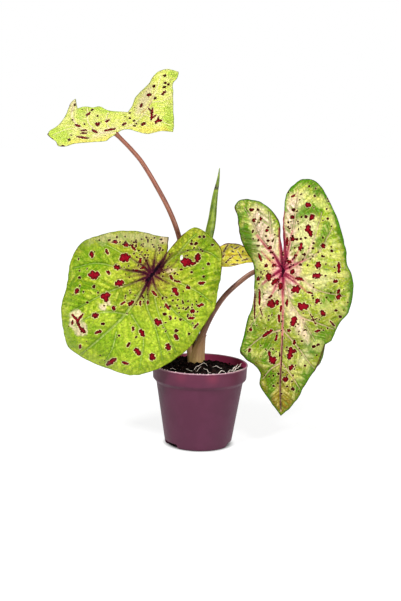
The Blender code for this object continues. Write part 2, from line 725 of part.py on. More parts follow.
def make_tuber(material, group):
    mesh = turned_mesh("tuber", tuber_profile(0.0), TUBER_SIDES)
    weld(mesh)
    tuber = add_object("tuber", mesh, material, group)
    tuber.location = (TUBER_AT[0] * MM, TUBER_AT[1] * MM, 0.0)
    return tuber


def main():
    clear_scene()
    plant = bpy.data.collections.new("potted_caladium")
    cutters = bpy.data.collections.new("cutters")
    bpy.context.scene.collection.children.link(plant)
    bpy.context.scene.collection.children.link(cutters)
    plum = plain_material("moulded_polypropylene_plum", "6A3C52", 0.45)
    earth = plain_material("potting_mix", "1C1210", 0.95)
    corm = plain_material("tuber_skin", "6B4A34", 0.85)
    stalk_skin = plain_material("petiole_skin", "7A4A40", 0.5)
    blade_skin = plain_material("caladium_blade", "9ABF2C", 0.5)
    pale_skin = plain_material("caladium_blade_pale", "D6DC62", 0.5)
    make_pot(plum, plant, cutters)
    make_soil(earth, plant, cutters)
    make_tuber(corm, plant)
    for name, stalk in STALKS.items():
        make_stalk(name, stalk, stalk_skin, plant)
    for name, leaf in LEAVES.items():
        pale = name in ("leaf_top", "leaf_back")
        make_leaf(name, leaf, pale_skin if pale else blade_skin, plant)
    make_rolled(blade_skin, plant)


main()
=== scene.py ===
"""Potted caladium, dressed for its photograph: thin quilted leaves with veins and maroon spots,
striped stalks in a tan sheath, crumbly potting mix with pale roots, and a moulded plum pot.

Lengths are in millimetres until a mesh is made. The front faces -Y.
"""

import math

import bpy
import bmesh
import numpy as np
from mathutils import Matrix, Vector, noise
from mathutils.geometry import delaunay_2d_cdt
from mathutils.kdtree import KDTree


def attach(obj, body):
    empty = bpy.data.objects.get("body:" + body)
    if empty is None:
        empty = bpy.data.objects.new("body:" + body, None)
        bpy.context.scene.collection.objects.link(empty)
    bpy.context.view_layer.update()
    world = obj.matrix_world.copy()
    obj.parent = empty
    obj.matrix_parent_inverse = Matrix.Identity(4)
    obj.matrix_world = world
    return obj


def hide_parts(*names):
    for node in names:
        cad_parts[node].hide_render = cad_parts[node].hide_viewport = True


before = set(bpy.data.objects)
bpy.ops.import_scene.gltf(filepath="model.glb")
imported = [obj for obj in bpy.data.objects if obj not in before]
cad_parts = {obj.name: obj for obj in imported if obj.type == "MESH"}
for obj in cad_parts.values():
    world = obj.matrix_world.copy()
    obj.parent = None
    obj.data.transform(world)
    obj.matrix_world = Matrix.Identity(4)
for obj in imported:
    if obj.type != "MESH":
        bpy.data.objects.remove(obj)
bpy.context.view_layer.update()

MM = 0.001
FULL_TURN = 2.0 * math.pi

# Camera, fitted to the photograph, which is 401 by 601 pixels
PHOTO_HEIGHT = 601
FOCAL_PIXELS = 1300.0
SENSOR = 36.0
CAMERA_AT = Vector((-0.0013, -1.394, 0.408))
CAMERA_AIM = Vector((-0.0013, 0.0, 0.160))
CAMERA_ROLL = math.radians(1.5)

# Studio: each box has its place and aim in metres, its size and its watts
SURROUND_LIGHT = 0.12
LIGHT_BOXES = {
    "key_box": ((-0.7, -1.05, 1.35), (0.0, 0.0, 0.2), 0.35, 30.0),
    "front_box": ((0.28, -1.15, 1.45), (0.0, 0.0, 0.1), 0.25, 10.0),
    "fill_box": ((0.95, -1.4, 0.45), (0.0, 0.0, 0.2), 0.5, 15.0),
    "back_box": ((0.4, 1.3, 1.2), (0.0, 0.0, 0.2), 0.8, 6.0),
}
# The light from below the white sheet starts from nothing under the pot's base, which paints a
# contact shadow round it, and grows a little further out. Both ranges are in metres from the pot's
# axis
SHEET_HALF = 5.0
SHEET_LIGHT = (0.84, 0.97)
SHEET_LIGHT_GROWS = (0.1, 1.6)
SHEET_LIGHT_STARTS = (0.031, 0.042)

# Share of the light that passes through the pot's wall and through a leaf
POT_LETS_THROUGH = 0.2
BLADE_LETS_THROUGH = 0.16

# Pot
RIM_RADIUS = 52.5
POT_HEIGHT = 90.0
BAND_Z = 74.5
BAND_TAPER = 1.1
WALL_TOP_Z = 70.0
WALL_TOP_RADIUS = 47.6
BASE_RADIUS = 36.4
WALL = 1.4
FLOOR = 1.6
MOULD_ROUNDING = 0.9
POT_SIDES = 180
NOTCH_HEIGHT = 5.2
NOTCH_WIDTH_DEG = 40.0
NOTCH_DEPTH = 5.0
NOTCH_AT_DEG = (-57.5, 78.0, 190.0)
# Places on the rim band where the wall is thin, with a red glow of light through it painted there
PAINTED_GLOW_SPOTS = {"thin_left": (-20.0, -48.0, 86.0), "thin_right": (14.0, -50.0, 85.0)}

# Soil: bumps are (height, radius, x, y), crumbly unevenness is (height, size, slice of the noise)
SOIL_EDGE_Z = 85.5
SOIL_BUMPS = ((8.0, 19.0, -3.0, 3.0), (3.0, 8.0, -15.0, 9.0))
SOIL_UNEVENNESS = ((1.6, 7.0, 26.0), (0.8, 3.1, 28.5))
SETTLED_BY = 4.0
SOIL_STEP = 0.85
SOIL_GAP = 0.3
LUMPS = 900
LUMP_SIZES = (1.0, 3.8)
LUMP_ROUNDNESS = 0.95
LUMPS_SUNK_BY = 1.7
CRUMBS = 620
CRUMB_SIZES = (0.5, 1.6)
GRAINS = 80
GRAIN_SIZES = (0.3, 0.55)
GRAIN_LIFT = 1.4
FIBRE_LIFT = 1.3

# Leaves, drawn as they look from VIEW_DISTANCE in front
VIEW_DISTANCE = 1370.0
PLANT_LEAN = Matrix.Rotation(math.radians(-1.5), 3, "Y")
LEAN_FROM = Vector((0.0, 0.0, 94.0))
BLADE = 0.42
EDGE_BLADE = 0.26
EDGE_WAVE = 0.35
CUSHION = 2.2
GROOVE = 1.0
MIDRIB_HALF_WIDTHS = (1.4, 0.4)
VEIN_HALF_WIDTHS = (0.5, 0.0)
VEIN_RIB = 1.9
BRANCH_RIB = 0.35
BRANCH_GAP = 8.0
BRANCH_REACH = 46.0
BRANCH_STRIDE = 1.6
BRANCH_TURN = math.radians(52.0)
BRANCH_BEND = math.radians(0.9)
SIDE_VEIN_GAP = 2.6
LARGE_SPOT = 1.75
SPOT_GROWTH = 1.18
LOBED_FROM = 1.35
RAY_REACH = 26.0
RAY_STRETCH = 0.35

# Stalks and the rolled leaf
STALK_TOP_Z = 66.0
STALK_FIT_GAP = 0.4
STALK_UPRIGHT_TO = 96.0
STALK_SIDES = 26
STALK_STEP = 1.8
STUB_BEHIND_RIBS = 2.3
SHEATH_HEIGHT = 26.0
ROLL_TURNS = 1.45
ROLL_POINTS = 50
ROLL_TIGHTENING = 0.3
ROLL_BLADE = 0.4
ROLLED_MARK_MM = 70.0

# Sockets of the node that mixes two colours: three of its inputs, then its output
FACTOR, UNDER, OVER, MIXED = 0, 6, 7, 2


def hex_colour(text):
    """Turn an sRGB hex string into linear RGBA."""
    channels = []
    for i in (0, 2, 4):
        value = int(text[i:i + 2], 16) / 255.0
        if value <= 0.04045:
            channels.append(value / 12.92)
        else:
            channels.append(((value + 0.055) / 1.055) ** 2.4)
    return (*channels, 1.0)


def put(tree, kind, inputs=None, out=0, **settings):
    """Add a node with its settings; each input is a value or a socket to link. Gives one output."""
    node = tree.nodes.new("ShaderNode" + kind)
    for name, value in settings.items():
        setattr(node, name, value)
    for key, value in (inputs or {}).items():
        if isinstance(value, bpy.types.NodeSocket):
            tree.links.new(value, node.inputs[key])
        else:
            node.inputs[key].default_value = value
    return node.outputs[out]


def new_material(name, **constants):
    """A Principled material with its plain values set on the shader's own sockets."""
    material = bpy.data.materials.new(name)
    material.use_nodes = True
    tree = material.node_tree
    shader = tree.nodes["Principled BSDF"]
    for key, value in constants.items():
        shader.inputs[key.replace("_", " ")].default_value = value
    return material, tree, shader


def dress(tree, shader, base, sources, layers, dents=None, strength=1.0, depth=0.0):
    """Lay colours over the base colour, and give the dents a relief of that depth in mm.

    Each row of layers names a source, its value where the layer is bare and where it is full,
    the layer's hex colour and its strength.
    """
    colour = hex_colour(base)
    for row in layers.splitlines():
        if not row.strip():
            continue
        source, bare, full, tint, cover = row.split()
        mask = put(
            tree, "MapRange",
            {"Value": sources[source], "From Min": float(bare), "From Max": float(full),
             "To Max": float(cover)},
            interpolation_type="SMOOTHSTEP",
        )
        colour = put(
            tree, "Mix", {FACTOR: mask, UNDER: colour, OVER: hex_colour(tint)}, MIXED,
            data_type="RGBA",
        )
    tree.links.new(colour, shader.inputs["Base Color"])
    if dents is None:
        return colour, None
    relief = put(
        tree, "Bump", {"Height": dents, "Strength": strength, "Distance": depth * MM}, "Normal",
    )
    tree.links.new(relief, shader.inputs["Normal"])
    return colour, relief


def fade(x, low, high):
    """Smooth step from 0 at low to 1 at high."""
    t = np.clip((x - low) / (high - low), 0.0, 1.0)
    return t * t * (3.0 - 2.0 * t)


def ramp(x, width):
    """Zero below zero, x above it, with a soft bend of that width."""
    return 0.5 * (x + np.sqrt(x * x + width * width))


def hump(u, v, at_u, at_v, size_u, size_v):
    """A rounded rise of height 1 at a place, with its size both ways."""
    return np.exp(-((u - at_u) / size_u) ** 2 - ((v - at_v) / size_v) ** 2)


def ripple(u, v, size, seed):
    """Smooth seeded unevenness between -1 and 1, with bumps of that size."""
    count = 64
    heights = np.random.default_rng(seed).uniform(-1.0, 1.0, (count, count))
    x, y = u / size, v / size
    i, j = np.floor(x).astype(int), np.floor(y).astype(int)
    fx, fy = fade(x - i, 0.0, 1.0), fade(y - j, 0.0, 1.0)
    near = heights[i % count, j % count] * (1 - fx) + heights[(i + 1) % count, j % count] * fx
    j += 1
    far = heights[i % count, j % count] * (1 - fx) + heights[(i + 1) % count, j % count] * fx
    return near * (1 - fy) + far * fy


def smooth_path(points, step, closed=False):
    """Run a smooth line through the points, with a point about every step.

    A point with "corner" as its last item keeps a sharp corner.
    """
    knots = [Vector([c for c in p if c != "corner"]) for p in points]
    sharp = [p[-1] == "corner" for p in points]
    count = len(knots)
    spans = count if closed else count - 1
    path = []
    for i in range(spans):
        a, b = i, (i + 1) % count
        chord = knots[b] - knots[a]
        length = chord.length
        before = knots[a - 1] if (closed or a > 0) else None
        after = knots[(b + 1) % count] if (closed or b + 1 < count) else None
        leave = chord.copy()
        arrive = chord.copy()
        if before is not None and not sharp[a]:
            leave = (knots[b] - before) * (length / (length + (knots[a] - before).length))
        if after is not None and not sharp[b]:
            arrive = (after - knots[a]) * (length / (length + (after - knots[b]).length))
        pieces = max(1, round(length / step))
        for k in range(pieces):
            t = k / pieces
            path.append(
                knots[a] * (2 * t ** 3 - 3 * t ** 2 + 1)
                + leave * (t ** 3 - 2 * t ** 2 + t)
                + knots[b] * (3 * t ** 2 - 2 * t ** 3)
                + arrive * (t ** 3 - t ** 2)
            )
    if not closed:
        path.append(knots[-1])
    return path


def as_array(path):
    """The path's points as rows of numbers."""
    return np.array([tuple(p) for p in path], dtype=float)


def distance_to_lines(points, lines, widths=None):
    """Distance from each 2D point to the nearest of some dense lines.

    widths gives each line's half width at its start and at its end, which is taken off.
    """
    knots = np.vstack(lines)
    tree = KDTree(len(knots))
    for index, (x, y) in enumerate(knots):
        tree.insert((x, y, 0.0), index)
    tree.balance()
    nearest = np.array([tree.find((x, y, 0.0))[1] for x, y in points])
    sizes = [len(line) for line in lines]
    ends = np.cumsum(sizes)
    line_of = np.repeat(np.arange(len(lines)), sizes)[nearest]
    first, last = (ends - sizes)[line_of], (ends - 1)[line_of]
    miss = np.full(len(points), 1e9)
    for a, b in ((np.maximum(nearest - 1, first), nearest), (nearest, np.minimum(nearest + 1, last))):
        run = knots[b] - knots[a]
        away = points - knots[a]
        along = (away * run).sum(axis=1) / np.maximum((run ** 2).sum(axis=1), 1e-12)
        gap = away - np.clip(along, 0.0, 1.0)[:, None] * run
        miss = np.minimum(miss, np.hypot(gap[:, 0], gap[:, 1]))
    if widths is not None:
        taper = np.concatenate([np.linspace(*width, size) for width, size in zip(widths, sizes)])
        miss = miss - taper[nearest]
    return miss


def inside_outline(points, outline):
    """True for each 2D point that lies inside the closed outline."""
    inside = np.zeros(len(points), dtype=bool)
    x, y = points[:, 0], points[:, 1]
    for (x1, y1), (x2, y2) in zip(outline, np.roll(outline, -1, axis=0)):
        if y1 != y2:
            crosses = (y1 > y) != (y2 > y)
            inside ^= crosses & (x < (x2 - x1) * (y - y1) / (y2 - y1) + x1)
    return inside


def add_object(name, data):
    """Put a new object with that mesh, curve, light or camera in the scene."""
    item = bpy.data.objects.new(name, data)
    bpy.context.scene.collection.objects.link(item)
    return item


def finish_piece(name, mesh, material, slot, *nodes, sharp_deg=50.0):
    """Shade the mesh smooth and put it in the scene as a piece that stands for CAD nodes."""
    mesh.shade_smooth()
    mesh.set_sharp_from_angle(angle=math.radians(sharp_deg))
    mesh.materials.clear()
    mesh.materials.append(material)
    piece = add_object(name, mesh)
    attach(piece, "root")
    if nodes:
        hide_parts(*nodes)
    return piece


def store(mesh, name, values):
    """Keep a number or a vector for each point, for the material to read."""
    values = np.asarray(values, dtype=np.float32)
    kind, key = ("FLOAT", "value") if values.ndim == 1 else ("FLOAT_VECTOR", "vector")
    mesh.attributes.new(name, kind, "POINT").data.foreach_set(key, values.ravel())


# Leaf forms: the relief says how far each point of the drawn leaf stands towards the viewer.

def relief_left(u, v, margin, rib):
    """The rounded left leaf: a shallow dome, its top strip and its tip bent back."""
    radius = np.hypot(u, v)
    angle = np.arctan2(v, u)
    to_tip = -0.73 * u - 0.68 * v
    crease = 31.0 - 0.0045 * (u + 38.0) ** 2
    dome = -0.0026 * ((u + 12.0) ** 2 + (v + 25.0) ** 2)
    top_strip = -2.1 * ramp(v - crease, 3.0) * fade(-u, -20.0, -8.0)
    tip = -0.9 * ramp(to_tip - 92.0, 14.0)
    lobe = 9.0 * hump(u, v, 46.0, 34.0, 20.0, 20.0) - 8.0 * hump(u, v, 38.0, 12.0, 22.0, 9.0)
    centre = -6.0 * np.exp(-(radius / 15.0) ** 2)
    belly = 5.0 * hump(u, v, -52.0, -18.0, 26.0, 20.0) + 5.0 * hump(u, v, 22.0, -62.0, 26.0, 22.0)
    trough = -3.0 * hump(u, v, -36.0, -62.0, 16.0, 30.0)
    edge = 2.6 * np.sin(7.0 * angle + 0.8) * fade(-margin, -22.0, -2.0) * fade(radius, 20.0, 45.0)
    curl = -5.0 * fade(-margin, -11.0, 1.0)
    quilt = 2.0 * fade(rib, 0.0, 9.0) * fade(margin, 0.0, 8.0) * fade(radius, 6.0, 26.0)
    along, past = 0.50 * u + 0.87 * v, 0.87 * u - 0.50 * v - 2.2
    overlap = fade(past, -0.7, 0.7) * np.exp(-ramp(past, 0.5) / 6.0) * fade(along, 7.0, 16.0)
    overlap *= 4.5 * fade(-along, -48.0, -34.0)
    return dome + top_strip + tip + lobe + centre + belly + trough + edge + curl + quilt + overlap


def relief_right(u, v, margin, rib):
    """The hanging right leaf: folded along its midrib, its left half turned away."""
    radius = np.hypot(u, v)
    arch = -0.0011 * (v + 25.0) ** 2
    left_half = -0.62 * ramp(-u - 1.0, 5.0)
    left_half -= 0.22 * ramp(-u - 24.0, 6.0) * fade(v, -60.0, -20.0)
    right_half = -0.10 * ramp(u, 5.0) - 0.0042 * ramp(u - 18.0, 8.0) ** 2
    left_lobe = -0.35 * ramp(v - 18.0, 8.0) * fade(-u, 0.0, 8.0)
    rolled_edge = -9.0 * fade(-margin, -13.0, 0.0) * hump(u, v, -38.0, 14.0, 16.0, 24.0)
    right_lobe = -0.22 * ramp(v - 45.0, 12.0) * fade(u, -2.0, 10.0)
    flare = 9.0 * hump(u, v, -44.0, -86.0, 16.0, 22.0)
    pleat = 4.5 * hump(u, v, 54.0, -62.0, 13.0, 13.0) - 3.5 * hump(u, v, 44.0, -90.0, 13.0, 15.0)
    shoulder = 5.0 * hump(u, v, 60.0, -18.0, 12.0, 24.0)
    shoulder -= 4.0 * hump(u, v, 62.0, 16.0, 12.0, 14.0)
    tip = 7.0 * hump(u, v, 0.0, -150.0, 22.0, 24.0)
    groove = -1.8 * np.exp(-(u / 4.0) ** 2) * fade(-v, -6.0, 6.0)
    centre = -3.5 * np.exp(-(radius / 11.0) ** 2)
    edge = 1.8 * np.sin(v / 7.5 + 0.6) * fade(-margin, -15.0, -1.0)
    curl = -2.5 * fade(-margin, -7.0, 1.0)
    quilt = 2.6 * fade(rib, 0.0, 8.0) * fade(margin, 0.0, 8.0) * fade(radius, 6.0, 22.0)
    shape = arch + left_half + right_half + left_lobe + rolled_edge + right_lobe + flare
    return shape + pleat + shoulder + tip + groove + centre + edge + curl + quilt


def relief_top(u, v, margin, rib):
    """The high leaf: nearly level, running away from the viewer, its right lobe twisted up."""
    blade_side = fade(-u, -16.0, -4.0)
    slope = 2.6 - 1.7 * fade(u, 2.0, 42.0) - 0.0006 * (u + 25.0) ** 2 * blade_side
    away = -slope * (v - 0.8 * ramp(v - 23.0, 5.0) * blade_side)
    left_end = 0.6 * ramp(-u - 46.0, 4.0)
    lobe_fold = -0.45 * np.sqrt((u - 36.0 - 0.28 * v) ** 2 + 16.0) * fade(u, 8.0, 26.0)
    wave = 5.0 * np.sin(u / 9.0 + 0.5) * fade(-margin, -26.0, -4.0) * fade(-u, -12.0, 2.0)
    quilt = 2.0 * fade(rib, 0.0, 8.0) * fade(margin, 0.0, 8.0)
    return away + left_end + lobe_fold + wave + quilt


def relief_back(u, v, margin, rib):
    """The small leaf: tipped back, with a soft fold along its midrib."""
    fold = -0.35 * np.sqrt((v - 1.0) ** 2 + 9.0)
    droop = -0.004 * (u - 12.0) ** 2
    edge = 1.5 * np.sin(u / 5.0) * fade(-margin, -8.0, -1.0)
    return -1.6 * v + fold + droop + edge + 0.8 * fade(rib, 0.0, 5.0)


def read_drawing(text):
    """Rows of numbers under each word of a drawing. A word opens a new line or list of rows, and
    an exclamation mark makes a row a sharp corner."""
    drawing = {}
    rows = []
    for item in text.split():
        if item.isalpha():
            rows = []
            drawing.setdefault(item, []).append(rows)
        else:
            row = tuple(float(number) for number in item.strip("!").split(","))
            rows.append((*row, "corner") if item.endswith("!") else row)
    return drawing


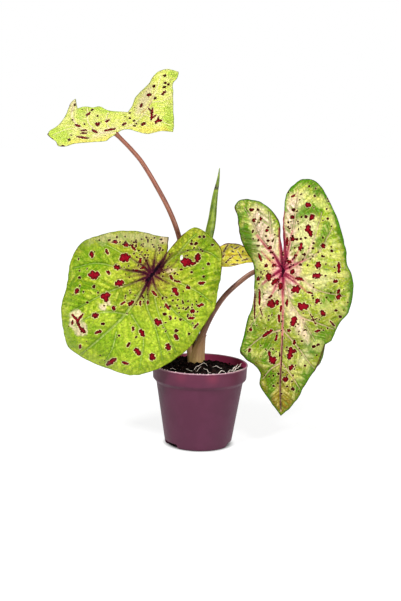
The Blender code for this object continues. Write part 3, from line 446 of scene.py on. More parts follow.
# Drawings of the leaves in mm from the stalk's joint, right and up, as seen from the front. The
# outline, ribs (behind), veins, stains and seams are lines of points, and wide gives the half
# widths of the stain before it. Spots and the deep, pale, rose and tear patches are ovals: middle,
# half length, half width and turn in degrees. Sprinkled ovals hold that many more small spots.
LEAVES = {
    "leaf_left": {
        "slot": "leaf_green", "at": (-49.6, -52.0, 197.0), "facing": (2.1, 8.9),
        "stretch": 1.0, "puffed": 1.0, "step": 0.95, "sinus_deg": 62.0,
        "relief": relief_left,
        "drawing": read_drawing("""
    outline 15.6,23! 16.2,30 16.8,39! 3,41 -14,45 -39,45 -56,41 -70,36 -79,27 -86,11 -89,-9 -95,-31
      -95,-46 -93,-61 -89,-75 -79,-83 -67,-90 -48,-98 -27,-105 -9,-104 11,-96 28,-85 40,-75 51,-58
      59,-45 65,-35 69,-14 72,-1 73,12 72,26 64,37 53,46 44,49 34,43 26.5,36 21.5,30
    rib -4,-5 -29,-42 -52,-64 -66,-78
    rib -6,3 -25,18 -44,29
    rib -8,-1 -32,6 -58,12 -78,8
    rib -8,-6 -38,-15 -60,-25 -80,-36
    rib 2,-8 15,-29 32,-48 42,-60
    rib -3,-9 -4,-40 8,-70 14,-84
    rib 8,-3 28,-9 48,-19 58,-28
    rib 9,3 27,18 42,24 59,22
    vein 0,0 -29,-42 -52,-64 -76,-84
    vein -5,4 -25,18 -44,29 -58,35
    vein -13,1 -32,6 -58,12 -82,7
    vein -6,-5 -38,-15 -60,-25 -84,-38
    vein -26,-42 -45,-39 -62,-42 -82,-54
    vein -38,-60 -42,-76 -50,-92
    vein -22,-42 -10,-66 -14,-98
    vein -2,-10 -7,-29 4,-60 10,-90
    vein 0.5,-10 8,-20 23,-39 50,-60
    vein 0,-12 6,-40 18,-69 24,-82
    vein 5,-1 28,-9 48,-19 62,-30
    vein 5,3 27,21 42,25 59,23 70,15
    vein 27,21 36,32 46,42
    vein 0.5,4 4,20 6,37
    vein -1,2 -11,18 -22,31 -34,42
    spot -39,34,3.2,1.6,0 -27,31,2.1,1.9,0 -20,28,4.3,1.2,-52 -63,21,3,1.9,90 -47,23.5,3,1.4,-65
      -28,17.5,5,3.7,10 -12.5,14.5,2.8,1.4,75 -37,7.5,3.1,2.3,-20 -6.5,14,1.5,0.9,80 -61,-0.5,5.2,3.6,0
      -46,2,2.3,1.3,-50 -34.5,-9,4.4,2.8,10 -79,-17,2.8,1.9,80 -61,-12.5,1.7,1.4,90 -49,-22,4.8,2.6,20
      -48.5,-25.5,3.2,2,80 -31,-30,2.8,0.9,31 -22.5,-30,3.8,1.7,42 -13,-30,2.5,1.3,95 2,-20,3.2,1.1,-50
      -40.5,-35,2,1.7,90 -60,-42.5,3,2.4,20 -52,-51.5,1.7,1.3,0 -57,-60,3.5,1.5,20 -81,-45,5,1.1,-48
      -76,-45,5,1,52 -77.5,-52,5.6,1.2,-66 -73,-58,3.4,1.9,-45 -84,-50,2.2,0.9,80 5.5,-50,3.3,2.8,-20
      -20.5,-57,2.5,1.2,88 -11.5,-61,4.2,2,-58 12.5,-41.5,1.5,1.3,0 37,-14,1.9,1.6,-30
      51.5,-9.5,3.5,1.6,5 20,-3.5,3.4,1.4,-62 26,-7.5,3,0.9,-12 24,-18,4.5,2.3,-58 35,12.5,4.2,3.8,0
      42,11,4,1.5,5 47.5,17,4.2,2.4,82 41,31.5,1.5,1.2,0 46,32,1.4,1.2,0 49.5,39,1.2,1.1,0
      54,39,1.2,1.1,0 63,30.5,1.2,1.2,0 58.5,10.5,1.4,1.3,0 41,2,1.2,1,0 53.5,-2.5,1.2,1.1,0
      50,-32.5,3.3,1.6,20 42,-39,2.1,1.8,0 40.5,-46,3.6,1.3,5 45.5,-54,3.4,0.8,48 24.5,-59,1.6,1.4,0
      24.5,-66,3.1,1.8,-60 16,-76,3,2.5,80 38,-62.5,1.1,1,0 -25.5,-73.5,2.5,1.3,60 -16,-80.5,3.9,2.3,-50
      -1,-86.5,3.1,2.8,90 -43.5,-91,6,2.1,32 -29,-92.5,3.1,1.1,-15 15.5,-34,3.6,1.1,-56
      10.5,-25,1.4,1,90 18.5,-45,2,0.8,-55 -5,-29.5,2,0.8,90 -76,-75,2,1.1,80 -68,-29,1.1,1,0
      -10,7,3,0.8,15 -17,4,2.2,0.7,10 8,26,2.2,0.7,60 30,5,1.5,0.8,0 -76,-3,1.2,1.2,0
    sprinkled -4,28,22,11,34 -28,36,18,5,12 18,0,12,9,14 -22,12,12,8,10 -18,-24,12,9,10 24,-34,16,18,22
      40,-44,14,14,14 44,18,18,14,12 -66,-4,18,26,8 -10,-62,30,26,8
    deep -62,22,20,12,-40 -42,24,14,6,-30 -50,-70,24,14,-40 -80,-25,16,9,85 52,4,14,8,100
      -8,-24,10,5,-75 -74,12,18,8,60 16,10,12,6,45 30,-22,16,6,-35 -86,-62,12,5,100 58,32,10,10,0
      -18,-46,12,6,-60
    pale -30,39,34,5,3 4,34,12,6,20 -52,-33,4,3,0
    rose -80,-46,9,6,70 -76,-56,8,6,110 13,36,3.5,5,80 20,4,4,1,10 -52,-34,2.4,2,30 -47,-30,2,1.2,0
    tear 30.5,17.5,2.8,1.4,78
    stain -5,-6 0,0 4,4.5 wide 4,5.4
    stain 3,4 7,9 12,16 15,22 wide 3.4,0.8
    stain 5,3 10,8 16,16 21,22 wide 1.6,0.1
    stain 0,2 2,13 4,27 wide 1.7,-0.3
    stain 4,1 12,4 20,8 27,16 wide 1,-0.4
    stain 30,22 40,25 53,24 62,20 wide -0.3,-0.6
    stain 3,-2 12,-7 26,-13 wide 1.1,-0.5
    stain -3,-5 -9,-16 -14,-25 -21,-34 wide 2.5,-0.5
    stain -4,0 -14,3 -24,4 -36,7 wide 2.2,-0.4
    stain -3,2 -10,9 -18,14 -26,20 wide 1.4,-0.4
    stain -2,3 -6,13 -12,22 wide 1.5,-0.4
    stain 0,-4 3,-14 8,-22 wide 1.3,-0.4
    stain -2,-5 -5,-16 -4,-28 wide 1.3,-0.4
    stain -4,-2 -16,-7 -30,-13 wide 1.3,-0.4
    stain -3,1 -16,-1 -28,-3 wide 0.9,-0.5
    seam 15.6,23 16.2,30 16.8,39
    seam 21.5,30 26.5,36 34,43
    seam 64,37 72,26 73,12 72,-1
        """),
    },
    "leaf_right": {
        "slot": "leaf_rose", "at": (88.5, -30.0, 198.0), "facing": (-3.8, 8.8),
        "stretch": 1.0, "puffed": 1.1, "step": 0.95, "sinus_deg": 94.0,
        "relief": relief_right,
        "drawing": read_drawing("""
    outline -1,18! -2,27 -3.8,36 -3.6,44 -4.6,50 -11,61 -23,71 -37,75 -48,74 -53,67 -50,57 -48,44 -46,33
      -40,20 -33,8 -31,-5 -31,-21 -33,-39 -38,-54 -41,-69 -45,-87 -39,-95 -30,-101 -23,-110 -24,-122
      -18,-132 -10,-143 -1,-155! 8,-147 19,-133 22,-126 35,-105 42,-94 45,-78! 52,-74! 60,-56 70,-42
      74,-21 72,-4 67,7 66,20 58,50 49,71 40,87 32,95 21,97 11,92 2,81 0,66 -1,52 -1,38 0,25
    rib -1,-5 -1,-28 0,-63 -1,-98 -2,-124 -1,-146
    rib 2,7 7,27 12,59 14,84
    rib 5,2 21,10 37,20 51,45
    rib 4,-3 18,-9 37,-19 62,-26
    rib 3,-12 8,-32 21,-50 38,-73
    rib -5,-3 -16,-10 -26,-19
    rib -4,-12 -13,-27 -29,-50
    rib -4,5 -15,22 -28,40 -41,64
    vein -1,0 -0.5,-28 0,-63 -1.4,-98 -2,-124 -1,-150
    vein 1,6 7,27 12,59 14,86
    vein 4,0 21,10 37,20 51,45
    vein 21,10 32,34 40,62
    vein 2,-4 18,-9 37,-21 66,-27
    vein 0.3,-7 7.5,-33 19,-50 34,-74
    vein 19,-50 38,-56 54,-62
    vein 0,-63 15,-80 28,-97 34,-104
    vein -1,-98 10,-112 19,-126
    vein -3,-2 -15,-9 -28,-22
    vein -1.4,-11 -12,-26 -21,-39 -34,-60
    vein -0.5,-63 -10,-66 -22,-71 -40,-86
    vein -1,-98 -12,-105 -21,-116
    vein -3,5 -15,22 -25,34 -35,54 -43,67
    vein -15,22 -14,42 -16,62
    spot -35,64,2.7,1.3,0 -28,64,1.3,1.2,0 -32,53,2.2,1.7,70 -25,54.5,1.9,1.4,80 -18,42,2.1,1.3,20
      -19,36,1,0.9,0 -17,31.5,1.1,0.9,0 -14.5,23.5,2,1.4,35 -33,41,1.5,1.2,80 -25,13.5,4.3,1.1,-70
      -18.5,4.5,1.9,1.5,80 -10,5,2.5,1.5,30 -11,13,1.1,1,0 -26.5,-9,2.1,1.6,80 -15.5,-7.5,3.9,2.5,100
      -9,-12,4.3,1.9,47 -3,-17,3.7,1.9,85 -13.5,-28,2.7,1.2,42 -25,-29,7.2,1.1,90 -23,-44.5,4,0.5,-70
      -30,-38,13,0.7,90 -12.5,-35.5,3.8,3.5,90 -6.5,-34.5,2.6,2.1,90 -2.2,-40.5,3.5,1.1,85
      -4,-51,4.5,1.4,95 4.3,-34.5,3.7,1.1,88 9.5,-1.5,2.7,1.8,60 6,9,2.3,1.6,-20 17,-9,4.3,1.6,-15
      13.5,-20,4.3,3.2,10 35,-5.5,4.4,2.4,0 36.5,5.5,3,2.5,70 18,6,1.4,1.3,0 13,16,1.8,1,0
      22,17,1.3,1.2,0 18,25,4,1.9,72 9.5,33,2,1.9,0 14,33,1.3,1.1,0 18,33.5,1.1,1,0 23,34.5,1.1,1,0
      3.5,30.5,4,1.1,88 25.5,44.5,3.4,2.6,80 28,39.5,3.6,2,-65 29.5,56.5,2.7,2.1,70 23,57,1.5,1.3,0
      25.5,69.5,2.4,2.2,0 10,64,1.5,1.5,0 8.5,56,1.9,1.8,0 9.5,79,2.3,1,30 32,79,1.1,1.1,0 26,89,1,0.9,0
      46,55,1.2,1.1,0 41.5,26,2.2,2.1,0 51,21,1.2,1.2,0 31.5,29,1.1,1.1,0 31,23.5,1.2,1.1,0
      58.5,3.5,6.2,1.5,92 55,-11,2,1.7,0 58.5,-22,2.3,1.6,80 58.5,-27.5,2.5,2.1,60 36.5,-32,2.8,2,40
      28.5,-23.5,3,0.9,-15 21,-38,5,3.6,5 42.5,-45,2.9,2.1,-40 56,-42,1.5,1.2,0 60.5,-48.5,1.6,1.2,-40
      11.5,-54,5.4,3,78 6.5,-64,1.8,1.6,0 -6.5,-71.5,2.9,1.1,82 -16,-67,6.5,1.8,36 37,-64,2.7,1.1,15
      43,-63,0.9,0.8,0 47.5,-61,0.9,0.8,0 52.5,-56,3.6,0.7,-48 12.5,-76.5,2.4,1.5,80 8.5,-88,6.3,2.7,80
      12.5,-85.5,2.4,1.6,20 33,-80.5,1.7,1.4,0 37.5,-78.5,1.5,1.2,30 -10.5,-95.5,4,3.2,-60
      -14,-89,3.4,1.4,-78 9.5,-103,3.1,2,55 3.5,-116,2.3,2.2,0 -4,-110,1.2,1.1,0 11.5,-126,1.7,1.5,0
      -9,-123,1.2,1.1,0 -35,-85.5,2,1.4,80 -34,-63,1.9,1.3,80 31.5,-50.5,6.5,0.5,-62 34.5,-56,1,0.9,0
      24,-101,1.2,1,0 -0.5,-131,1,0.8,0 20.5,-75,1.1,1,0
    sprinkled 12,28,18,26,24 -20,34,14,26,16 28,2,26,18,16 -16,-16,12,22,14 22,-44,24,26,22
      -12,-74,20,28,18 8,-104,16,24,16 30,70,18,18,8
    deep 30,90,24,6,-40 64,30,38,5,110 71,-20,26,4,85 -39,36,20,7,100 -34,-10,20,4,90 12,92,12,5,60
      20,62,9,7,30 42,40,14,6,70 46,-30,14,6,60 22,-116,20,6,58 -16,-90,14,6,80 -14,-112,9,5,90
      38,-76,16,8,65 -38,-84,18,6,100 30,66,12,9,0 -44,60,14,6,60 -12,-125,18,5,70 -30,-60,12,5,90
    pale 22,40,22,12,70 28,-86,16,5,55 -24,52,16,8,120 34,-10,16,8,10 15,72,14,7,75 -26,20,18,7,120
    rose 2,-6,24,16,80 -20,38,28,10,115 6,46,34,7,84 16,-56,22,5,120 -16,-26,14,6,60
    stain -3,5 0,0 -1,-6 wide 4.2,4
    stain 1,3 2.4,14 0.4,34 -1.4,49 -0.4,62 wide 2.1,0.2
    stain -1,3 -1.7,14 -3.4,27 -4.8,44 wide 2,0.4
    stain 1,4 6.3,31 9,42 wide 1.3,-0.5
    stain 0,-4 -0.3,-20 0,-40 wide 1.8,-0.4
    stain 0,-40 -1,-90 -2,-120 wide -0.2,-0.5
    stain 2,1 12,6 24,12 wide 1.1,-0.6
    stain 2,-3 13,-9 22,-11 wide 1,-0.6
    stain 1,-5 13,-13 27,-24 wide 1,-0.6
    stain 2,4 12,14 18,26 wide 0.9,-0.6
    stain -2,1 -10,16 -18,24 -29,37 wide 1.5,-0.2
    stain -3,3 -12,8 -24,20 wide 0.9,-0.4
    stain -3,0 -14,-8 -22,-15 wide 1.6,-0.4
    stain -2,-4 -8,-17 -14,-30 wide 1.3,-0.4
    seam -53,67 -50,57 -48,44 -46,33 -40,20 -33,8 -31,-5
    seam -4,44 -4.6,50 -11,61
    seam -2,27 -3.8,36 -3.6,44
    seam 0,-70 -1,-98 -2,-124 -1,-148
    seam -45,-87 -39,-95 -30,-101 -23,-110
    seam 45,-78 35,-105 22,-126
        """),
    },
    "leaf_top": {
        "slot": "leaf_pale", "at": (-89.4, -8.0, 341.5), "facing": (3.5, 2.8),
        "stretch": 2.3, "puffed": 0.42, "step": 1.05, "sinus_deg": 120.0,
        "relief": relief_top,
        "drawing": read_drawing("""
    outline -72,-1! -69,3 -61,8 -54,16 -50,25 -46,33 -42,36! -40,26! -33,28 -24,27 -17,28 -8,24 0,23
      13,22! 17,28 21,38 28,45 35,52 40,60 47,65 55,67 63,65 67,64! 65,57 61,52 61,40 61,26 62,13 61,1!
      49,2 34,-1 21,2 14,4 6,3 -1,-2 -6,-5 -10,-8 -20,-9 -33,-10 -44,-11 -50,-13 -56,-14 -61,-13 -63,-9
      -68,-5
    rib -4,2 -22,2 -37,6 -45,17 -44,29
    rib 5,5 16,9 30,20 44,50 48,60
    rib -10,4 -24,8 -29,19 -27,25
    vein 0,0 -22,1.5 -37,6 -46,18 -43,33
    vein 2,3 16,8 30,20 42,42 48,60
    vein -22,3 -29,12 -30,26
    vein -5,2 -10,12 -8,22
    vein -37,6 -52,4 -66,-2
    vein 30,20 44,14 58,8
    vein 36,32 50,34 60,38
    spot -40,8,2.8,1.1,-15 -33.5,3,3.2,0.8,0 -33.5,0,2.9,0.7,0 -34.5,-4.5,5.6,0.8,-8 -19,9.5,2.4,1.7,15
      -22,2,3,1.1,-28 -29,20,2.7,1,42 -25,24.5,1.6,0.7,20 -8.5,13,2.4,0.9,30 -19.3,18,0.9,0.8,0
      -6,3.5,5.4,0.9,12 9,9.5,2.4,1,30 19.5,13,1.1,0.9,0 20,7.5,1.4,0.7,0 22,10,0.9,0.7,0
      15,15.5,1,0.8,0 15,21,0.9,0.7,0 29.5,9.5,2.5,1.3,28 38.5,20,7,1.3,84 40.5,17,3,0.8,40
      36.5,24,2.6,0.7,130 45.5,12.5,3.6,0.9,10 45,14.5,2.6,0.7,80 44,12,2.6,0.7,50 51,42,3,1.2,42
      52,60,1.4,1.2,20 52.5,52.5,1.5,0.9,20 51.5,48,1.7,0.9,20 56,51,1.5,0.8,35 40.5,49,1.6,1.1,45
      35.5,40,2.4,1.4,5 27,29,2.1,1.2,60 42,36.5,1.3,1,0 -49,-7,1.3,1.1,0 -45.5,14,0.9,0.7,0
      -48.5,30,1.3,0.9,80 -43,29.5,1.3,0.9,80 -55.5,-13.5,1.6,0.9,0 -72,-0.5,1.1,0.9,0 -33,9.5,0.9,0.7,0
      -47,-2,0.8,0.6,0
    deep -60,-2,14,8,-10 -16,25,20,3.5,-5 57,15,14,6,90 60,62,8,4,0 -37,22,7,5,80
    pale -14,-7,14,2.5,5 -36,-9,12,2.5,0 40,3,16,3,0
    rose 30,34,17,5,62 -12,1,13,2.5,20 -45,28,8,3,80
    stain 27,21 36,30 42,50 wide 0.4,0
    seam -56,-14 -61,-13 -63,-9 -68,-5 -72,-1
        """),
    },
    "leaf_back": {
        "slot": "leaf_pale", "at": (13.8, 25.0, 205.4), "facing": (-0.5, 8.1),
        "stretch": 1.7, "puffed": 0.7, "step": 1.0, "sinus_deg": 180.0,
        "relief": relief_back,
        "drawing": read_drawing("""
    outline -3,0! -9,4 -11,9 -5,11 2,10 8,11 15,14 22,14 29,13 38,9 48,4 56,-2! 49,-6 41,-7 34,-8 22,-11
      12,-12 3,-11 -5,-9 -10,-5 -9,-2
    rib 2,0 20,1 38,1 50,-1
    vein 0,0 20,1 38,1 52,-1
    vein 4,0 14,6 20,12
    vein 16,1 26,6 33,10
    vein 4,0 12,-5 18,-10
    vein 16,1 26,-4 34,-7
    vein 0,0 -6,5 -8,9
    vein 0,0 -5,-4 -7,-8
    spot 14,8,4.6,0.45,62 22,5,1.4,0.6,-30 26,9,2.6,0.4,24 19,-3,4.2,0.4,38 27,-5,1.1,0.6,-10
      30,1,3.4,0.35,-60 25,-9,3.2,0.35,5 15,-7,1,0.6,0 33,5,1.1,0.5,70 12,0,1.9,0.5,60 21,10,1.1,0.5,-20
      36,-4,3,0.4,12
    stain 5,10 12,12.5 19,13.6 28,12.8 37,8.8 wide 1,0.4
    stain 20,1 30,1 42,0 wide 0.4,0.1
    seam -9,4 -11,9 -5,11 2,10 8,11
        """),
    },
}

# Stalks: points from the tuber up, then the radius at the ground, halfway and at the leaf
STALKS = {
    "petiole_right": {
        "leaf": "leaf_right",
        "foot": (-1.8, -1.0),
        "path": [(-0.5, -1, 112), (7, -1, 133), (17, -1, 151.5), (28, 0, 166.5),
                 (44, 3, 180.8), (57.5, 4, 190.2), (74, -3, 196.8)],
        "stub": 6.0,
        "radii": (4.3, 2.8, 2.5),
    },
    "petiole_left": {
        "leaf": "leaf_left",
        "foot": (-10.2, 0.5),
        "path": [(-13, -1, 115), (-19, -6, 145), (-28, -16, 171), (-38, -28, 187)],
        "stub": 6.0,
        "radii": (3.6, 3.0, 2.6),
    },
    "petiole_top": {
        "leaf": "leaf_top",
        "foot": (-6.5, 8.0),
        "path": [(-8, 9, 120), (-11, 8, 155), (-16, 6, 195), (-23.5, 2, 232), (-32.5, 0, 257),
                 (-46, -2, 283.5), (-62, -4, 310.5), (-73, -5, 324), (-81.5, -6, 333)],
        "stub": None,
        "radii": (3.6, 2.8, 2.2),
    },
    "petiole_back": {
        "leaf": "leaf_back",
        "foot": (2.4, 8.6),
        "path": [(5, 11, 130), (9, 16, 165), (12, 22, 190)],
        "stub": 4.0,
        "radii": (2.5, 2.0, 1.5),
    },
    "petiole_new": {
        "leaf": None,
        "foot": (-2.4, 16.2),
        "path": [(-4, 18, 130), (-2, 16, 170), (3, 13.5, 195), (7, 12.2, 211)],
        "radii": (2.8, 2.5, 2.3),
    },
}

# The rolled leaf: points up its axis with the radius of the roll at each
ROLLED = [
    (7.6, 12, 213, 2.6), (8.6, 12, 222, 4.9), (10.6, 12, 234, 5.4), (13.0, 12, 248, 4.6),
    (14.6, 12, 262, 3.8), (16.6, 12, 276, 2.9), (19.4, 12, 290, 1.7), (21.0, 12, 303, 0.4),
]


def leaned(point):
    """Where a point of the upright plant goes when it leans a little to the left."""
    return PLANT_LEAN @ (Vector(point) - LEAN_FROM) + LEAN_FROM


def leaf_axes(leaf):
    """Right, up and outward directions of the plane that a leaf is drawn in."""
    azimuth, elevation = (math.radians(a) for a in leaf["facing"])
    out = Vector((
        math.sin(azimuth) * math.cos(elevation),
        -math.cos(azimuth) * math.cos(elevation),
        math.sin(elevation),
    ))
    right = Vector((math.cos(azimuth), math.sin(azimuth), 0.0))
    return PLANT_LEAN @ right, PLANT_LEAN @ out.cross(right), PLANT_LEAN @ out


def leaf_lines(leaf, word, step, closed=False):
    """The lines under that word of a leaf's drawing, dense and in its stretched plane."""
    scale = np.array((1.0, leaf["stretch"]))
    return [as_array(smooth_path(line, step, closed)) * scale for line in leaf["drawing"][word]]


def loop_of(outline):
    """The outline as a line that ends where it starts."""
    return [np.vstack([outline, outline[:1]])]


def place_on_leaf(leaf, flat, fine=0.0):
    """World points in mm for stretched plane points, with the fine relief added."""
    margin = distance_to_lines(flat, loop_of(leaf_lines(leaf, "outline", 2.0, closed=True)[0]))
    rib = distance_to_lines(flat, leaf_lines(leaf, "rib", 2.0))
    u, v = flat[:, 0], flat[:, 1] / leaf["stretch"]
    depth = leaf["relief"](u, v, margin, rib) + fine
    right, up, out = (np.array(axis) for axis in leaf_axes(leaf))
    grow = 1.0 - depth / VIEW_DISTANCE
    across = (u * grow)[:, None] * right + (v * grow)[:, None] * up
    return np.array(leaned(leaf["at"])) + across + depth[:, None] * out


def grow_branches(veins, outline):
    """Side veins: they leave each vein in turns left and right and bend towards the margin."""
    starts, headings, sides = [], [], []
    for line in veins:
        travelled = 0.0
        mark = BRANCH_GAP
        side = 1.0
        for a, b in zip(line, line[1:]):
            span = np.hypot(*(b - a))
            travelled += span
            if travelled >= mark and span > 0.0:
                heading = math.atan2(*(b - a)[::-1])
                for turn in (side, -side):
                    starts.append(b + 0.3 * turn * np.array((-math.sin(heading), math.cos(heading))))
                    headings.append(heading + turn * BRANCH_TURN)
                    sides.append(turn)
                mark += BRANCH_GAP
                side = -side
    at, heading, sides = np.array(starts), np.array(headings), np.array(sides)
    growing = np.ones(len(at), dtype=bool)
    tracks = [[p] for p in at]
    taken = {}
    for step in range(int(BRANCH_REACH / BRANCH_STRIDE)):
        at = at + BRANCH_STRIDE * np.stack([np.cos(heading), np.sin(heading)], axis=1)
        heading = heading - sides * BRANCH_BEND
        room = distance_to_lines(at, loop_of(outline))
        growing &= inside_outline(at, outline) & (room > 2.5)
        if step > 2:
            growing &= distance_to_lines(at, veins) > 1.2
        for index in np.nonzero(growing)[0]:
            cell = tuple(np.floor(at[index] / SIDE_VEIN_GAP).astype(int))
            if taken.setdefault(cell, index) != index:
                growing[index] = False
            else:
                tracks[index].append(at[index])
    return [np.array(track) for track in tracks if len(track) > 3]


def spot_distance(u, v, spots, seed=None):
    """Signed distance to the edge of the nearest spot. With a seed, wide spots are lobed."""
    draw = np.random.default_rng(seed)
    shapes = []
    for at_u, at_v, length, width, degrees in spots:
        angle = math.radians(degrees)
        if seed is None:
            shapes.append((at_u, at_v, length, width, angle))
            continue
        length, width = SPOT_GROWTH * length, SPOT_GROWTH * width
        if width < LOBED_FROM:
            shapes.append((at_u, at_v, length, width, angle))
            continue
        shapes.append((at_u, at_v, 0.82 * length, 0.72 * width, angle))
        count = 4 + round(length / width) + (width > 2.0)
        for k in range(count):
            turn = FULL_TURN * (k + draw.uniform(-0.3, 0.3)) / count
            x, y = length * 0.74 * math.cos(turn), width * 0.68 * math.sin(turn)
            size = width * draw.uniform(0.34, 0.56)
            shapes.append((
                at_u + x * math.cos(angle) - y * math.sin(angle),
                at_v + x * math.sin(angle) + y * math.cos(angle), size, size, 0.0,
            ))
    nearest = np.full(len(u), 1e9)
    for at_u, at_v, length, width, angle in shapes:
        x = (u - at_u) * math.cos(angle) + (v - at_v) * math.sin(angle)
        y = -(u - at_u) * math.sin(angle) + (v - at_v) * math.cos(angle)
        level = np.hypot(x / length, y / width)
        slope = np.maximum(np.hypot(x / length ** 2, y / width ** 2), 1e-9)
        nearest = np.minimum(nearest, level * (level - 1.0) / slope)
    return nearest


def flat_blade(leaf, seed):
    """The leaf laid flat in points and triangles, with its rippled outline, veins and side veins."""
    step = leaf["step"]
    outline = leaf_lines(leaf, "outline", step, closed=True)[0]
    along = np.arange(len(outline)) * step
    normal = np.roll(outline, -1, axis=0) - np.roll(outline, 1, axis=0)
    normal = normal[:, ::-1] * np.array((1.0, -1.0))
    normal /= np.maximum(np.hypot(normal[:, 0], normal[:, 1]), 1e-9)[:, None]
    outline = outline + normal * (EDGE_WAVE * ripple(along, along * 0.0, 4.5, seed))[:, None]
    veins = leaf_lines(leaf, "vein", 1.6)
    branches = grow_branches(veins, leaf_lines(leaf, "outline", 5.0, closed=True)[0])
    low, high = outline.min(axis=0), outline.max(axis=0)
    row_height = step * math.sqrt(3.0) / 2.0
    rows = int((high[1] - low[1]) / row_height) + 1
    columns = int((high[0] - low[0]) / step) + 1
    row, column = np.mgrid[0:rows, 0:columns]
    field = np.stack([
        low[0] + (row % 2) * step / 2.0 + column * step, low[1] + (row + 0.5) * row_height,
    ], axis=2).reshape(-1, 2)
    field = field[inside_outline(field, outline)]
    field = field[distance_to_lines(field, loop_of(outline)) > 0.55 * step]
    field = field[distance_to_lines(field, veins) > 0.5 * step]
    points = [Vector(p) for p in outline]
    edges = [(i, (i + 1) % len(outline)) for i in range(len(outline))]
    for line in veins:
        first = len(points)
        points += [Vector(p) for p in line]
        edges += [(first + i, first + i + 1) for i in range(len(line) - 1)]
    points += [Vector(p) for p in field]
    verts, _, faces, *_ = delaunay_2d_cdt(points, edges, [], 1, 1e-5)
    used, corners = np.unique(np.array([tuple(f) for f in faces]), return_inverse=True)
    return as_array(verts)[used], corners.reshape(-1, 3), outline, veins, branches


def shell(name, front, faces, thick):
    """A closed mesh from the front in mm, a back that far behind it and the rim between them."""
    corner = front[faces]
    across = np.cross(corner[:, 1] - corner[:, 0], corner[:, 2] - corner[:, 0])
    normals = np.zeros_like(front)
    for k in range(3):
        np.add.at(normals, faces[:, k], across)
    normals /= np.linalg.norm(normals, axis=1)[:, None]
    back = front - normals * thick[:, None]
    count = len(front)
    directed = np.concatenate([faces[:, (0, 1)], faces[:, (1, 2)], faces[:, (2, 0)]])
    _, index, uses = np.unique(
        np.sort(directed, axis=1), axis=0, return_index=True, return_counts=True,
    )
    all_faces = [tuple(f) for f in faces] + [tuple(f) for f in faces[:, ::-1] + count]
    all_faces += [(b, a, a + count, b + count) for a, b in directed[index[uses == 1]]]
    mesh = bpy.data.meshes.new(name)
    mesh.from_pydata(np.vstack([front, back]) * MM, [], all_faces)
    return mesh


def leaf_spots(drawing, seed):
    """The drawn spots in two lists, large and small, with the sprinkled ones among the small."""
    large = [spot for spot in drawing["spot"][0] if spot[2] >= LARGE_SPOT]
    small = [spot for spot in drawing["spot"][0] if spot[2] < LARGE_SPOT]
    draw = np.random.default_rng(seed)
    for at_u, at_v, reach_u, reach_v, amount in drawing.get("sprinkled", [[]])[0]:
        for _ in range(int(amount)):
            reach, turn = math.sqrt(draw.uniform()), draw.uniform(0.0, FULL_TURN)
            place = (at_u + reach_u * reach * math.cos(turn), at_v + reach_v * reach * math.sin(turn))
            length, width = draw.uniform(0.55, 1.15), draw.uniform(0.45, 0.85)
            small.append((*place, length, width, draw.uniform(0.0, 90.0)))
    return large, small


def leaf_piece(name, leaf, material, seed):
    """A thin closed blade: quilted between sunken veins in front, ribbed behind."""
    flat, faces, outline, veins, branches = flat_blade(leaf, seed)
    drawing = leaf["drawing"]
    u, v = flat[:, 0], flat[:, 1]
    drawn_v = v / leaf["stretch"]
    radius = np.hypot(u, v)
    margin = distance_to_lines(flat, loop_of(outline))
    widths = [MIDRIB_HALF_WIDTHS] + [VEIN_HALF_WIDTHS] * (len(veins) - 1)
    vein = distance_to_lines(flat, veins, widths)
    branch = distance_to_lines(flat, branches)
    beside_vein = np.maximum(vein, 0.0)
    nearest = np.minimum(beside_vein, branch)
    inner = fade(margin, 0.0, 5.0)
    cushion = CUSHION * (1.0 - np.exp(-(nearest / 2.6) ** 2)) * inner * fade(radius, 3.0, 14.0)
    groove = -GROOVE * np.exp(-(beside_vein / 0.9) ** 2) * fade(radius, 2.0, 8.0)
    pucker = 0.75 * ripple(u, v, 5.0, seed + 1) * inner + 1.1 * ripple(u, v, 13.0, seed + 2)
    fine = (cushion + groove + pucker * fade(radius, 5.0, 20.0)) * leaf["puffed"]
    ribs = VEIN_RIB * np.exp(-(beside_vein / 0.8) ** 2) + BRANCH_RIB * np.exp(-(branch / 0.6) ** 2)
    ribs *= (1.0 - 0.7 * radius / radius.max()) * fade(margin, 0.0, 8.0)
    thick = EDGE_BLADE + (BLADE - EDGE_BLADE) * fade(margin, 0.0, 6.0) + ribs
    mesh = shell(name, place_on_leaf(leaf, flat, fine), faces, thick)
    side = np.repeat((1.0, 0.0), len(flat))
    angle = np.mod(np.arctan2(v, u) - math.radians(leaf["sinus_deg"]), FULL_TURN)
    store(mesh, "leaf_mm", np.column_stack([np.tile(u, 2), np.tile(v, 2), side]))
    rays = (np.tile(RAY_REACH * angle, 2), np.tile(RAY_STRETCH * radius, 2), side)
    store(mesh, "rays_mm", np.column_stack(rays))
    store(mesh, "under", 1.0 - side)
    large, small = leaf_spots(drawing, seed + 5)
    stain_widths = [rows[0] for rows in drawing["wide"]]
    read_by_material = {
        "spot": spot_distance(u, drawn_v, large, seed),
        "fleck": spot_distance(u, drawn_v, small, seed),
        "stain": distance_to_lines(flat, leaf_lines(leaf, "stain", 1.5), stain_widths),
        "seam": distance_to_lines(flat, leaf_lines(leaf, "seam", 1.5)),
        "vein": vein,
        "branch": branch,
        "margin": margin,
        "reach": radius,
        # How far the fine relief stands out; the material paints light on its cushions and shade in its
        # hollows with it
        "raised": (fine - fine.mean()) / fine.std(),
        "glow": distance_to_lines(flat, veins) + 0.11 * radius,
    }
    for word in ("deep", "pale", "rose", "tear"):
        if word in drawing:
            read_by_material[word] = spot_distance(u, drawn_v, drawing[word][0])
    for key, values in read_by_material.items():
        store(mesh, key, np.tile(values, 2))
    return finish_piece("caladium_" + name, mesh, material, leaf["slot"], name)


